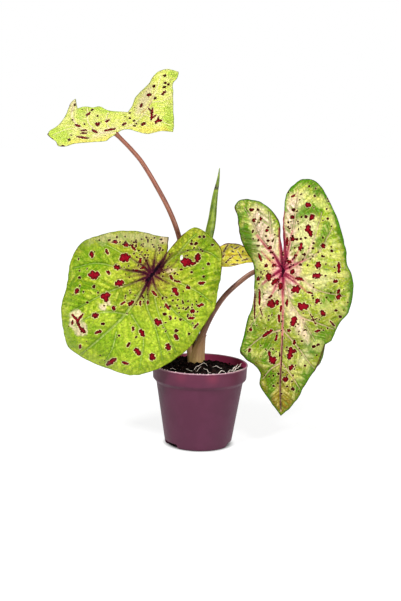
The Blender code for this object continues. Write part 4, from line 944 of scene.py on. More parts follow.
def blade_material(name, skin):
    """Caladium leaf blade: a thin waxy cuticle over soft tissue that lets some light through.

    The cuticle makes it satin, the tissue shows a mosaic of tinted cells between fine veins,
    and the net of small veins dents it. Painted light and shade follow the relief: its cushions
    are painted lighter, and its hollows and the strips beside the veins darker.
    """
    material, tree, shader = new_material(name, IOR=1.4, Specular_IOR_Level=0.1)
    place = put(tree, "Attribute", out="Vector", attribute_name="leaf_mm")
    rays = put(tree, "Attribute", out="Vector", attribute_name="rays_mm")
    sources = {}
    for key, vector, size in (
        ("broad", place, 19.0), ("medium", place, 7.0), ("fine", place, 2.2), ("streak", rays, 4.2),
        ("hair", rays, 1.5),
    ):
        sources[key] = put(tree, "TexNoise", {"Vector": vector, "Scale": 1.0 / size, "Detail": 3.0})
    jitter = put(tree, "TexNoise", {"Vector": place, "Scale": 1.0 / 2.6, "Detail": 2.0}, "Color")
    ragged = put(
        tree, "VectorMath", {0: jitter, 1: (3.4, 3.4, 0.0), 2: place}, operation="MULTIPLY_ADD",
    )
    for key, size in (("mosaic", 4.4), ("mosaic_small", 1.9)):
        cell = put(
            tree, "TexVoronoi", {"Vector": ragged, "Scale": 1.0 / size, "Smoothness": 0.35}, "Color",
            feature="SMOOTH_F1",
        )
        sources[key] = put(tree, "SeparateColor", {"Color": cell}, "Red")
    sources["net"] = put(
        tree, "TexVoronoi", {"Vector": ragged, "Scale": 1.0 / 3.2}, "Distance",
        feature="DISTANCE_TO_EDGE",
    )
    height = put(tree, "SeparateXYZ", {"Vector": place}, "Y")
    uneven = put(tree, "TexNoise", {"Vector": place, "Scale": 1.0 / 1.5, "Detail": 1.0})
    uneven = put(tree, "Math", {0: uneven, 1: 0.5}, operation="SUBTRACT")
    wander = put(tree, "Math", {0: sources["medium"], 1: 0.5}, operation="SUBTRACT")
    sources["up"] = put(tree, "Math", {0: wander, 1: 60.0, 2: height}, operation="MULTIPLY_ADD")
    for key, waver, amount in (
        ("spot", uneven, 1.9), ("fleck", uneven, 1.2), ("tear", uneven, 1.2), ("vein", uneven, 0.7),
        ("branch", uneven, 0.7), ("margin", uneven, 0.9), ("stain", uneven, 1.6),
        ("glow", wander, 16.0), ("reach", wander, 30.0), ("deep", wander, 22.0),
        ("pale", wander, 22.0), ("rose", wander, 8.0), ("under", uneven, 0.0),
        ("raised", uneven, 0.8), ("seam", uneven, 0.5),
    ):
        kept = put(tree, "Attribute", out="Fac", attribute_name=key)
        sources[key] = put(tree, "Math", {0: waver, 1: amount, 2: kept}, operation="MULTIPLY_ADD")
    cell = skin["dot_cell"]
    dots = put(tree, "TexVoronoi", {"Vector": place, "Scale": 1.0 / cell}, "Distance")
    chance = put(tree, "SeparateColor", {"Color": dots.node.outputs["Color"]}, "Red")
    size = put(
        tree, "MapRange",
        {"Value": chance, "From Min": skin["dot_rare"], "To Min": -0.3, "To Max": skin["dot_size"]},
    )
    away = put(tree, "Math", {0: dots, 1: cell}, operation="MULTIPLY")
    away = put(tree, "Math", {0: away, 1: size}, operation="SUBTRACT")
    for key, amount, added in (
        ("dot", skin["dot_thins"], away), ("hair", -0.011, sources["hair"]),
    ):
        sources[key] = put(
            tree, "Math", {0: sources["reach"], 1: amount, 2: added}, operation="MULTIPLY_ADD",
        )
    sources["dot"] = put(
        tree, "Math", {0: uneven, 1: 0.9, 2: sources["dot"]}, operation="MULTIPLY_ADD",
    )
    dents = put(
        tree, "MapRange", {"Value": sources["net"], "From Max": 0.2},
        interpolation_type="SMOOTHSTEP",
    )
    dents = put(tree, "Math", {0: sources["fine"], 1: 1.0, 2: dents}, operation="MULTIPLY_ADD")
    colour, relief = dress(
        tree, shader, skin["base"], sources, skin["layers"], dents, depth=0.9,
    )
    gloss = put(
        tree, "MapRange",
        {"Value": sources["medium"], "From Min": 0.3, "From Max": 0.7, "To Min": 0.34, "To Max": 0.5},
    )
    tree.links.new(gloss, shader.inputs["Roughness"])
    glowing = put(tree, "BsdfTranslucent", {"Color": colour, "Normal": relief})
    both = put(tree, "MixShader", {0: BLADE_LETS_THROUGH, 1: shader.outputs[0], 2: glowing})
    tree.links.new(both, tree.nodes["Material Output"].inputs["Surface"])
    return material


# Colour layers, in the order in which they lie: a leaf's own, then the pale halos of the spots,
# the star round the stalk's joint, the spots, and last what covers all of these. The base is the
# tissue's colour, and small dots sit in cells of dot_cell mm. A leaf's own layers include painted
# light and shade: the raised rows paint the cushions of the relief lighter and its hollows darker.
HALOS = """
    dot 0.6 0.3 DCC860 0.35
    fleck 0.8 0.35 E8DC94 0.55
    spot 1.05 0.4 EEDFA0 0.75
"""
SPOTS = """
    seam 1.2 0.4 4A0C1C 0.85
    dot 0.2 0 2A0402 1
    fleck 0.35 0 3C0404 1
    spot 0.35 0 500202 1
    spot -0.4 -1.4 9A0820 0.85
"""
SKINS = {
    # Left leaf: the first branch and vein rows paint shade in the grooves beside the veins, and the up
    # row from -20 to -60 paints its lower part lighter, as painted light
    "leaf_left": {
        "base": "A4B61C", "dot_cell": 4.6, "dot_rare": 0.55, "dot_size": 1.2, "dot_thins": 0.004,
        "layers": f"""
        broad 0.44 0.62 B4C62A 0.7
        medium 0.54 0.36 86A210 0.6
        medium 0.52 0.7 BED038 0.35
        streak 0.54 0.74 C6D040 0.2
        streak 0.46 0.26 749A0A 0.25
        mosaic 0.62 0.78 CCD850 0.35
        mosaic 0.38 0.24 6A9608 0.35
        mosaic_small 0.62 0.82 DEE26C 0.35
        mosaic_small 0.36 0.16 548006 0.4
        fine 0.56 0.66 DEE866 0.4
        fine 0.44 0.34 446E04 0.5
        raised 0.1 1.3 CEDE48 0.4
        raised -0.2 -1.5 527E02 0.7
        up 6 40 9C9428 0.4
        up -20 -60 BCD638 0.5
        deep 5 -5 64960A 0.5
        pale 4 -4 D2CE86 0.8
        rose 2.4 -0.6 F2DCB4 0.92
        branch 1.6 0.4 5E9206 0.3
        vein 2.4 0.8 5E9206 0.4
        branch 0.5 0.05 BACA54 0.3
        vein 0.5 0 C8D27C 0.5
        margin 1 0.2 56700C 0.7
        {HALOS}
        reach 64 20 A8942C 0.25
        reach 30 8 A8783C 0.3
        reach 16 4 6A1E2C 0.6
        hair 0.39 0.46 5A1620 0.75
        stain 2 0.5 5C2030 0.45
        stain 0.5 -0.3 460824 0.92
        stain -0.8 -2 140010 0.98
        {SPOTS}
        tear 0.2 -0.1 FAFAF4 1
        under 0.4 0.6 9DBE5A 0.55
        """,
    },
    # Right leaf: the first branch row paints shade beside the side veins, and the up row from -16 to
    # -56 paints its lower half a duller, darker green, as painted shade. The up row at the tip is its
    # own brown
    "leaf_right": {
        "base": "BCCA2E", "dot_cell": 4.6, "dot_rare": 0.5, "dot_size": 1.2, "dot_thins": 0.001,
        "layers": f"""
        broad 0.5 0.64 D6C858 0.6
        broad 0.48 0.34 9CC41C 0.7
        medium 0.56 0.72 DED068 0.45
        medium 0.46 0.3 84B00C 0.55
        streak 0.56 0.72 E4D67C 0.3
        streak 0.44 0.28 78A408 0.35
        mosaic 0.62 0.8 E6DC80 0.25
        mosaic 0.38 0.2 78A80C 0.3
        mosaic_small 0.64 0.84 F4EEC2 0.25
        mosaic_small 0.34 0.14 5E9008 0.3
        fine 0.56 0.66 FAF4C8 0.45
        fine 0.44 0.34 4E7C04 0.5
        up -16 -56 7E900E 0.6
        pale 6 -6 F2EAB4 0.7
        glow 8 2 F8DCB8 0.8
        rose 6 -5 FCDCC6 0.92
        up -92 -138 96701A 0.8
        deep 3 -5 4C8C04 0.88
        raised 0.2 1.4 F4F090 0.45
        raised -0.2 -1.5 4E7E02 0.7
        branch 1.6 0.4 8AA030 0.3
        branch 0.5 0.05 F0D8A4 0.3
        net 0.12 0.03 8A7A34 0.25
        vein 0.7 0 F6CCB0 0.6
        vein -0.1 -0.6 CC7C68 0.6
        margin 3.2 0.8 4E9006 0.6
        margin 1.2 0.3 2E4808 0.9
        {HALOS}
        reach 24 6 E88494 0.4
        hair 0.42 0.48 98203E 0.55
        stain 1.9 0.6 CC3C68 0.55
        stain 0.6 -0.4 820A34 0.92
        stain -0.8 -2 300014 0.98
        {SPOTS}
        under 0.4 0.6 B4C870 0.55
        """,
    },
    # High leaf: its raised row paints the hollows of its relief darker, as painted shade
    "leaf_top": {
        "base": "EAEC70", "dot_cell": 5.0, "dot_rare": 0.55, "dot_size": 1.0, "dot_thins": 0.0,
        "layers": f"""
        broad 0.5 0.62 F4F090 0.7
        broad 0.46 0.35 D2E460 0.6
        mosaic 0.58 0.74 F6F2A8 0.4
        mosaic 0.42 0.26 C4DC50 0.35
        mosaic_small 0.64 0.8 FCF6C4 0.2
        mosaic_small 0.34 0.2 B8D450 0.15
        raised -0.2 -1.6 C8DC5C 0.35
        deep 4 -4 AED434 0.65
        pale 4 -4 F4E266 0.75
        rose 4 -4 F8E6BA 0.85
        net 0.12 0.02 C4CC64 0.15
        branch 0.5 0.05 F8F4B4 0.4
        vein 0.9 0.1 FAE6BC 0.75
        margin 1 0.2 5E7624 0.85
        {HALOS}
        stain 0.7 -0.2 B8745C 0.8
        {SPOTS}
        under 0.4 0.6 C8DC80 0.55
        """,
    },
    "leaf_back": {
        "base": "F2E03C", "dot_cell": 4.2, "dot_rare": 0.5, "dot_size": 0.8, "dot_thins": 0.0,
        "layers": f"""
        broad 0.5 0.62 E8D848 0.7
        mosaic 0.42 0.26 B0B424 0.6
        mosaic_small 0.62 0.8 F4E87C 0.5
        vein 0.6 0.1 9A5E28 0.5
        margin 0.9 0.2 7A5A28 0.6
        {HALOS}
        stain 0.7 -0.2 6A1422 0.9
        {SPOTS}
        under 0.4 0.6 C4C458 0.55
        """,
    },
}


def under_leaf(leaf, clearance):
    """Point behind the blade where the stalk joins, and the direction out of its back."""
    spots = np.array([(0.0, 0.0), (2.0, 0.0), (0.0, 2.0)])
    at, beside, above = (Vector(p) for p in place_on_leaf(leaf, spots))
    front = (beside - at).cross(above - at).normalized()
    return at - front * clearance, -front


def swept_frames(path):
    """Side and front directions carried along a path without twisting."""
    side = (path[1] - path[0]).cross(Vector((0.0, 1.0, 0.0))).normalized()
    frames = []
    for i in range(len(path)):
        heading = (path[min(i + 1, len(path) - 1)] - path[max(i - 1, 0)]).normalized()
        side = (side - heading * side.dot(heading)).normalized()
        frames.append((side, heading.cross(side)))
    return frames


def loft_stalk(name, rings, around, along, material, *nodes):
    """A piece through rings of points in mm, its ends closed by a fan.

    Around and along give each point's place on the skin in mm, for its streaks.
    """
    count = len(rings[0])
    last = (len(rings) - 1) * count
    verts = [p for ring in rings for p in ring]
    verts += [sum(ring, Vector()) / count for ring in (rings[0], rings[-1])]
    faces = []
    for i in range(count):
        j = (i + 1) % count
        faces += [(k + i, k + j, k + count + j, k + count + i) for k in range(0, last, count)]
        faces += [(j, i, last + count), (last + i, last + j, last + count + 1)]
    mesh = bpy.data.meshes.new(name)
    mesh.from_pydata([p * MM for p in verts], [], faces)
    store(mesh, "grain_mm", np.column_stack([np.array(around + [(0.0, 0.0)] * 2), along]))
    store(mesh, "above_soil", [p.z - SOIL_EDGE_Z for p in verts])
    return finish_piece(name, mesh, material, "stalk_skin", *nodes)


def stalk_piece(name, stalk, material):
    """A leaf stalk with faint ridges, wider at its foot and where it joins its leaf."""
    foot = stalk["foot"]
    bottom = STALK_TOP_Z + STALK_FIT_GAP
    points = [(*foot, bottom), (*foot, (bottom + STALK_UPRIGHT_TO) / 2.0)]
    points += [(*foot, STALK_UPRIGHT_TO)] + [tuple(leaned(p)) for p in stalk["path"]]
    if stalk["leaf"]:
        end, back = under_leaf(LEAVES[stalk["leaf"]], 0.45)
        if stalk["stub"]:
            points.append(tuple(end + back * (stalk["stub"] + STUB_BEHIND_RIBS)))
        points.append(tuple(end))
    else:
        points.append(tuple(leaned(ROLLED[0][:3]) + Vector((0.3, 0.0, 2.5))))
    path = smooth_path(points, STALK_STEP)
    ground, middle, top = stalk["radii"]
    rings, along, around = [], [], []
    travelled = 0.0
    phase = np.random.default_rng(len(name)).uniform(0.0, FULL_TURN)
    for i, (side, front) in enumerate(swept_frames(path)):
        t = i / (len(path) - 1)
        radius = ground + (middle - ground) * min(1.0, 2.0 * t)
        radius += (top - middle) * max(0.0, 2.0 * t - 1.0)
        height = max(0.0, path[i].z - SOIL_EDGE_Z)
        radius *= 1.0 + 0.18 * math.exp(-(height / SHEATH_HEIGHT) ** 2)
        if stalk["leaf"]:
            to_leaf = (path[-1] - path[i]).length
            radius *= 1.0 + 0.25 * math.exp(-(to_leaf / 4.0) ** 2)
        ring = []
        for k in range(STALK_SIDES):
            angle = FULL_TURN * k / STALK_SIDES
            ridge = 1.0 + 0.012 * math.sin(9.0 * angle + phase) + 0.03 * math.cos(2.0 * angle + phase)
            ring.append(path[i] + (side * math.cos(angle) + front * math.sin(angle)) * radius * ridge)
            around.append((2.4 * math.cos(angle), 2.4 * math.sin(angle)))
            along.append(travelled)
        rings.append(ring)
        if i + 1 < len(path):
            travelled += (path[i + 1] - path[i]).length
    along += [0.0, travelled]
    return loft_stalk("stalk_of_" + name, rings, around, along, material, name)


# The sheath: height, middle (x, y), half width and half depth of its section
SHEATH = [
    (78, -5.6, 1.5, 8.6, 7.5), (90, -5.6, 1.2, 8.6, 7.2), (97, -5.0, 0.8, 8.0, 6.4),
    (105, -3.6, 0.2, 6.8, 5.4), (114, -0.8, -0.6, 4.6, 4.4), (122, 2.6, -1.0, 3.7, 3.7),
]


def sheath_piece(material):
    """The broad sheath at the foot of the right stalk, which clasps the other stalks."""
    path = smooth_path([(x, y, z) for z, x, y, _, _ in SHEATH], 1.6)
    sizes = as_array(smooth_path([(z, wide, deep) for z, _, _, wide, deep in SHEATH], 1.6))
    rings, around, along = [], [], []
    for at in path:
        wide = np.interp(at.z, sizes[:, 0], sizes[:, 1])
        deep = np.interp(at.z, sizes[:, 0], sizes[:, 2])
        ring = []
        for k in range(2 * STALK_SIDES):
            angle = math.pi * k / STALK_SIDES
            fold = 1.0 + 0.05 * math.cos(5.0 * angle + 0.7) + 0.015 * math.sin(17.0 * angle)
            ring.append(at + Vector((wide * math.cos(angle), deep * math.sin(angle), 0.0)) * fold)
            around.append((5.0 * math.cos(angle), 5.0 * math.sin(angle)))
            along.append(at.z)
        rings.append(ring)
    return loft_stalk("stalk_sheath", rings, around, along + [0.0, 0.0], material)


def stalk_material():
    """Smooth skin of a caladium leaf stalk: brown-maroon with fine lengthwise streaks, and the
    pale tan of the sheath near the soil. Satin, because the skin is waxy."""
    material, tree, shader = new_material("caladium_petiole_epidermis", Roughness=0.4, IOR=1.42)
    place = put(tree, "Attribute", out="Vector", attribute_name="grain_mm")
    sources = {}
    for key, across, length in (("streak", 0.9, 22.0), ("fleck", 0.5, 5.0), ("blotch", 3.0, 16.0)):
        drawn = put(
            tree, "VectorMath", {0: place, 1: (1.0 / across, 1.0 / across, 1.0 / length)},
            operation="MULTIPLY",
        )
        sources[key] = put(tree, "TexNoise", {"Vector": drawn, "Scale": 1.0, "Detail": 2.0})
    height = put(tree, "Attribute", out="Fac", attribute_name="above_soil")
    uneven = put(tree, "Math", {0: sources["streak"], 1: 0.5}, operation="SUBTRACT")
    sources["height"] = put(
        tree, "Math", {0: uneven, 1: 26.0, 2: height}, operation="MULTIPLY_ADD",
    )
    dress(tree, shader, "5C3828", sources, """
        height 110 190 8A4E3C 0.8
        blotch 0.45 0.65 764A38 0.6
        streak 0.52 0.66 8A5C46 0.7
        streak 0.46 0.34 4A2220 0.75
        height 46 14 A07C4E 0.9
        height 18 2 BA9A60 0.8
        fleck 0.62 0.74 C09C74 0.45
        fleck 0.38 0.28 3E1C18 0.6
    """, sources["streak"], 0.5, 0.2)
    return material


def rolled_piece(material):
    """The new leaf: one thin sheet wound about itself to a point, with its free edge in front."""
    path = smooth_path([tuple(leaned(p[:3])) for p in ROLLED], 2.0)
    radii = as_array(smooth_path([(p[2], p[3]) for p in ROLLED], 2.0))[:, 1]
    verts, places, faces = [], [], []
    for i, (side, front) in enumerate(swept_frames(path)):
        share = i / (len(path) - 1)
        radius = np.interp(share, np.linspace(0.0, 1.0, len(radii)), radii)
        for k in range(ROLL_POINTS):
            turn = k / (ROLL_POINTS - 1)
            angle = FULL_TURN * (ROLL_TURNS * turn - 0.10 + 0.28 * share)
            reach = radius * (1.0 - ROLL_TIGHTENING * (1.0 - turn))
            at = path[i] + (side * math.cos(angle) + front * math.sin(angle)) * reach
            if i > 0 and k > 0:
                here = len(verts)
                faces.append((here - ROLL_POINTS - 1, here - ROLL_POINTS, here, here - 1))
            verts.append(at * MM)
            places.append((turn, i * 2.0, 0.0))
    mesh = bpy.data.meshes.new("rolled_leaf")
    mesh.from_pydata(verts, [], faces)
    store(mesh, "sheet_mm", places)
    piece = finish_piece("rolled_new_leaf", mesh, material, "leaf_young", "leaf_rolled")
    solid = piece.modifiers.new("Solidify", "SOLIDIFY")
    solid.thickness = ROLL_BLADE * MM
    solid.offset = -1.0
    return piece


def rolled_material():
    """The back of a young leaf, still rolled: olive green with darker veins that run to its tip."""
    material, tree, shader = new_material("young_leaf_cuticle", Roughness=0.42, IOR=1.42)
    place = put(tree, "Attribute", out="Vector", attribute_name="sheet_mm")
    sources = {}
    for key, around, length in (("vein", 0.05, 30.0), ("patch", 0.25, 9.0), ("fleck", 0.04, 2.5)):
        drawn = put(
            tree, "VectorMath", {0: place, 1: (1.0 / around, 1.0 / length, 1.0)},
            operation="MULTIPLY",
        )
        sources[key] = put(tree, "TexNoise", {"Vector": drawn, "Scale": 1.0, "Detail": 2.0})
    height = put(tree, "SeparateXYZ", {"Vector": place}, "Y")
    from_mark = put(tree, "Math", {0: height, 1: ROLLED_MARK_MM}, operation="SUBTRACT")
    from_mark = put(tree, "Math", {0: from_mark}, operation="ABSOLUTE")
    sources["mark"] = put(
        tree, "Math", {0: sources["patch"], 1: 9.0, 2: from_mark}, operation="MULTIPLY_ADD",
    )
    dress(tree, shader, "5E7212", sources, """
        patch 0.52 0.66 80922C 0.8
        patch 0.46 0.32 3E560C 0.8
        vein 0.46 0.36 2E420A 0.75
        vein 0.56 0.68 92A248 0.6
        fleck 0.66 0.76 4A2414 0.6
        mark 9 5 20160C 0.9
    """, sources["vein"], 0.6, 0.3)
    return material


def wall_radius(z):
    """Outer radius of the tapered wall at a height."""
    return BASE_RADIUS + (WALL_TOP_RADIUS - BASE_RADIUS) * z / WALL_TOP_Z


def turned_mesh(name, profile, sides):
    """Turn an (r, z) profile round Z with a Screw modifier and return the mesh."""
    line = bpy.data.meshes.new(name + "_profile")
    points = [(r * MM, 0.0, z * MM) for r, z in profile]
    line.from_pydata(points, [(i, i + 1) for i in range(len(points) - 1)], [])
    item = add_object(name + "_profile", line)
    screw = item.modifiers.new("Screw", "SCREW")
    screw.axis = "Z"
    screw.steps = sides
    screw.render_steps = sides
    screw.use_merge_vertices = True
    screw.merge_threshold = 0.00001
    mesh = evaluated_mesh(item)
    bpy.data.objects.remove(item, do_unlink=True)
    work = bmesh.new()
    work.from_mesh(mesh)
    bmesh.ops.remove_doubles(work, verts=work.verts, dist=0.00001)
    bmesh.ops.recalc_face_normals(work, faces=work.faces)
    work.to_mesh(mesh)
    work.free()
    return mesh


def evaluated_mesh(item):
    """Return a new mesh of the object with its modifiers applied."""
    graph = bpy.context.evaluated_depsgraph_get()
    graph.update()
    return bpy.data.meshes.new_from_object(item.evaluated_get(graph))


def rounded(points, radius, pieces=4):
    """An (r, z) profile with each inner corner replaced by a short arc."""
    result = [points[0]]
    for before, corner, after in zip(points, points[1:], points[2:]):
        corner = Vector(corner)
        first, second = Vector(before) - corner, Vector(after) - corner
        reach = min(radius, first.length * 0.45, second.length * 0.45)
        start = corner + first.normalized() * reach
        end = corner + second.normalized() * reach
        for k in range(pieces + 1):
            t = k / pieces
            result.append(tuple(start * (1 - t) ** 2 + corner * 2 * t * (1 - t) + end * t ** 2))
    return result + [points[-1]]


def notch_cutter(index, degrees):
    """A block with rounded edges that cuts one drainage notch."""
    work = bmesh.new()
    bmesh.ops.create_cube(work, size=1.0)
    width = 2.0 * BASE_RADIUS * math.sin(math.radians(NOTCH_WIDTH_DEG / 2.0))
    size = Vector((width, 4.0 * NOTCH_DEPTH, 2.0 * NOTCH_HEIGHT)) * MM
    bmesh.ops.scale(work, verts=work.verts, vec=size)
    at = Vector((0.0, -BASE_RADIUS - NOTCH_DEPTH, 0.0)) * MM
    bmesh.ops.translate(work, verts=work.verts, vec=at)
    turn = Matrix.Rotation(math.radians(degrees), 3, "Z")
    bmesh.ops.rotate(work, verts=work.verts, cent=(0.0, 0.0, 0.0), matrix=turn)
    bmesh.ops.bevel(
        work, geom=work.edges[:] + work.verts[:], offset=0.8 * MM, segments=3, affect="EDGES",
    )
    block = bpy.data.meshes.new(f"notch_{index}")
    work.to_mesh(block)
    work.free()
    return add_object(block.name, block)


def pot_piece(material):
    """Thin moulded pot: rolled lip, straight rim band, a soft step, a tapered wall and notches."""
    band_radius = RIM_RADIUS - BAND_TAPER
    outside = [
        (RIM_RADIUS - WALL, POT_HEIGHT - 4.0),
        (RIM_RADIUS - WALL, POT_HEIGHT),
        (RIM_RADIUS, POT_HEIGHT),
        (RIM_RADIUS, POT_HEIGHT - 1.6),
        (RIM_RADIUS - 0.6, POT_HEIGHT - 2.2),
        (band_radius, BAND_Z),
        (WALL_TOP_RADIUS + 0.6, WALL_TOP_Z + 1.0),
        (WALL_TOP_RADIUS, WALL_TOP_Z),
        (wall_radius(2.0), 2.0),
        (BASE_RADIUS - 1.5, 0.0),
        (BASE_RADIUS - 8.0, 0.0),
        (BASE_RADIUS - 9.0, 0.7),
        (8.0, 0.7),
        (7.0, 0.0),
        (0.0, 0.0),
    ]
    inside = [
        (0.0, FLOOR),
        (wall_radius(FLOOR) - WALL, FLOOR),
        (WALL_TOP_RADIUS - WALL, WALL_TOP_Z),
        (band_radius - WALL, BAND_Z),
        (RIM_RADIUS - WALL, POT_HEIGHT - 4.0),
    ]
    profile = rounded(outside, MOULD_ROUNDING) + rounded(inside, MOULD_ROUNDING)
    turned = turned_mesh("pot", profile, POT_SIDES)
    turned.name = "moulded_pot"
    body = add_object("pot_body", turned)
    cutters = [notch_cutter(index, degrees) for index, degrees in enumerate(NOTCH_AT_DEG)]
    for cutter in cutters:
        boolean = body.modifiers.new(cutter.name, "BOOLEAN")
        boolean.operation = "DIFFERENCE"
        boolean.solver = "EXACT"
        boolean.object = cutter
    mesh = evaluated_mesh(body)
    for item in cutters + [body]:
        bpy.data.objects.remove(item, do_unlink=True)
    # Points on the inside of the wall above the notches, which the material paints bright as painted
    # light, since that side lies in shade
    inner = []
    for vert in mesh.vertices:
        outward = vert.normal.dot(Vector((vert.co.x, vert.co.y, 0.0)).normalized())
        inner.append(float(outward < -0.5 and vert.co.z > NOTCH_HEIGHT * MM))
    store(mesh, "inner", inner)
    return finish_piece("moulded_pot", mesh, material, "pot_plastic", "pot", sharp_deg=35.0)


def pot_material():
    """Injection-moulded polypropylene, dyed plum: satin, faintly cloudy, with fine moulding grain,
    a painted red glow on the band where light comes through the thin wall, painted light on the
    inside of the wall, which lies in shade, and a few dusty scuffs."""
    material, tree, shader = new_material(
        "injection_moulded_polypropylene", Roughness=0.38, IOR=1.49, Specular_IOR_Level=0.3,
    )
    place = put(tree, "TexCoord", out="Object")
    sources = {"inner": put(tree, "Attribute", out="Fac", attribute_name="inner")}
    for key, size, detail in (("cloud", 16.0, 2.0), ("grain", 0.9, 2.0), ("scuff", 3.2, 5.0)):
        sources[key] = put(
            tree, "TexNoise",
            {"Vector": place, "Scale": 1.0 / (size * MM), "Detail": detail, "Roughness": 0.6},
        )
    height = put(tree, "SeparateXYZ", {"Vector": place}, "Z")
    height = put(tree, "Math", {0: height, 1: 1.0 / MM}, operation="MULTIPLY")
    raised = put(tree, "Math", {0: height, 1: 1.0}, operation="SUBTRACT")
    rows = [("height", "cloud", 16.0, height), ("lip", "scuff", 2.0, raised)]
    for key, at in PAINTED_GLOW_SPOTS.items():
        away = put(
            tree, "VectorMath", {0: place, 1: Vector(at) * MM}, out="Value", operation="DISTANCE",
        )
        rows.append((key, "cloud", 8.0 * MM, away))
    for key, pattern, amount, added in rows:
        sources[key] = put(
            tree, "Math", {0: sources[pattern], 1: amount, 2: added}, operation="MULTIPLY_ADD",
        )
    # The two rows for spots on the band paint a red glow of light through the thin wall, and the inner
    # row paints the shaded inside of the wall bright: both are painted light
    dress(tree, shader, "52223A", sources, """
        cloud 0.45 0.65 5A2640 0.5
        height 78 92 60263E 0.6
        thin_left 0.015 0.003 84304A 0.35
        thin_right 0.015 0.003 8A2E48 0.45
        scuff 0.68 0.82 785264 0.3
        scuff 0.3 0.2 361826 0.5
        inner 0.2 0.8 C84876 1
        lip 88.6 89.6 C8A0AC 0.75
    """, sources["grain"], 0.12, 0.1)
    rough = put(
        tree, "MapRange",
        {"Value": sources["scuff"], "From Min": 0.3, "From Max": 0.75, "To Min": 0.4, "To Max": 0.56},
    )
    tree.links.new(rough, shader.inputs["Roughness"])
    glowing = put(tree, "BsdfTranslucent", {"Color": hex_colour("A02848")})
    both = put(tree, "MixShader", {0: POT_LETS_THROUGH, 1: shader.outputs[0], 2: glowing})
    tree.links.new(both, tree.nodes["Material Output"].inputs["Surface"])
    return material


def soil_height(x, y):
    """Height of the soil's surface: a low mound with crumbs, settled lower behind the stalks."""
    height = SOIL_EDGE_Z - SETTLED_BY * fade(y, -12.0, 16.0) * fade(x, -10.0, 8.0)
    for rise, radius, at_x, at_y in SOIL_BUMPS:
        height += rise * math.exp(-((x - at_x) ** 2 + (y - at_y) ** 2) / radius ** 2)
    for rise, size, layer in SOIL_UNEVENNESS:
        height += rise * noise.noise(Vector((x, y, layer)) / size)
    return height


def soil_piece(material):
    """Body of potting mix: its top is a bed of crumbs and lumps, its sides follow the pot."""
    draw = np.random.default_rng(11)
    edge = RIM_RADIUS - WALL - SOIL_GAP - 0.3
    lumps = KDTree(LUMPS)
    sizes = []
    for index in range(LUMPS):
        reach, turn = edge * math.sqrt(draw.uniform()), draw.uniform(0.0, FULL_TURN)
        sizes.append(draw.uniform(*LUMP_SIZES))
        lumps.insert((reach * math.cos(turn), reach * math.sin(turn), 0.0), index)
    lumps.balance()
    rings = int(edge / SOIL_STEP)
    points = [Vector((0.0, 0.0))]
    for ring in range(1, rings + 1):
        reach = edge * ring / rings
        count = POT_SIDES if ring == rings else max(6, int(FULL_TURN * reach / SOIL_STEP))
        for k in range(count):
            turn = FULL_TURN * (k + 0.5 * (ring % 2)) / count
            points.append(Vector((reach * math.cos(turn), reach * math.sin(turn))))
    first = len(points) - POT_SIDES
    edges = [(first + i, first + (i + 1) % POT_SIDES) for i in range(POT_SIDES)]
    flat, _, faces, *_ = delaunay_2d_cdt(points, edges, [], 1, 1e-5)
    work = bmesh.new()
    made, tops = [], []
    for p in flat:
        lift = 0.0
        for _, index, away in lumps.find_n((p.x, p.y, 0.0), 5):
            size = sizes[index]
            if away < size:
                lift = max(lift, LUMP_ROUNDNESS * math.sqrt(size * size - away * away))
        lift += 0.35 * noise.noise(Vector((p.x, p.y, 4.0)) * 0.9)
        fall = fade(np.hypot(p.x, p.y), edge - 3.0, edge) * 0.6
        height = soil_height(p.x, p.y) + lift - LUMPS_SUNK_BY - fall
        made.append(work.verts.new(Vector((p.x, p.y, height)) * MM))
        tops.append(lift)
    for face in faces:
        work.faces.new([made[i] for i in face])
    loop = made[first:first + POT_SIDES]
    inner = WALL + SOIL_GAP
    for radius, z in (
        (RIM_RADIUS - BAND_TAPER - inner, BAND_Z),
        (WALL_TOP_RADIUS - inner, WALL_TOP_Z),
        (wall_radius(FLOOR) - inner - 1.0, FLOOR + SOIL_GAP),
    ):
        ring = []
        for vert in loop:
            turn = math.atan2(vert.co.y, vert.co.x)
            at = Vector((radius * math.cos(turn), radius * math.sin(turn), z))
            ring.append(work.verts.new(at * MM))
        for i in range(POT_SIDES):
            j = (i + 1) % POT_SIDES
            work.faces.new((loop[i], loop[j], ring[j], ring[i]))
        loop = ring
    work.faces.new(loop)
    bmesh.ops.recalc_face_normals(work, faces=work.faces)
    mesh = bpy.data.meshes.new("potting_mix")
    work.to_mesh(mesh)
    work.free()
    # How far each point's lump rises, which the material paints lighter, as painted light on the tops
    # over the shaded hollows
    store(mesh, "lump_top", tops + [0.0] * (len(mesh.vertices) - len(tops)))
    return finish_piece("potting_mix", mesh, material, "potting_mix", "soil", sharp_deg=75.0)


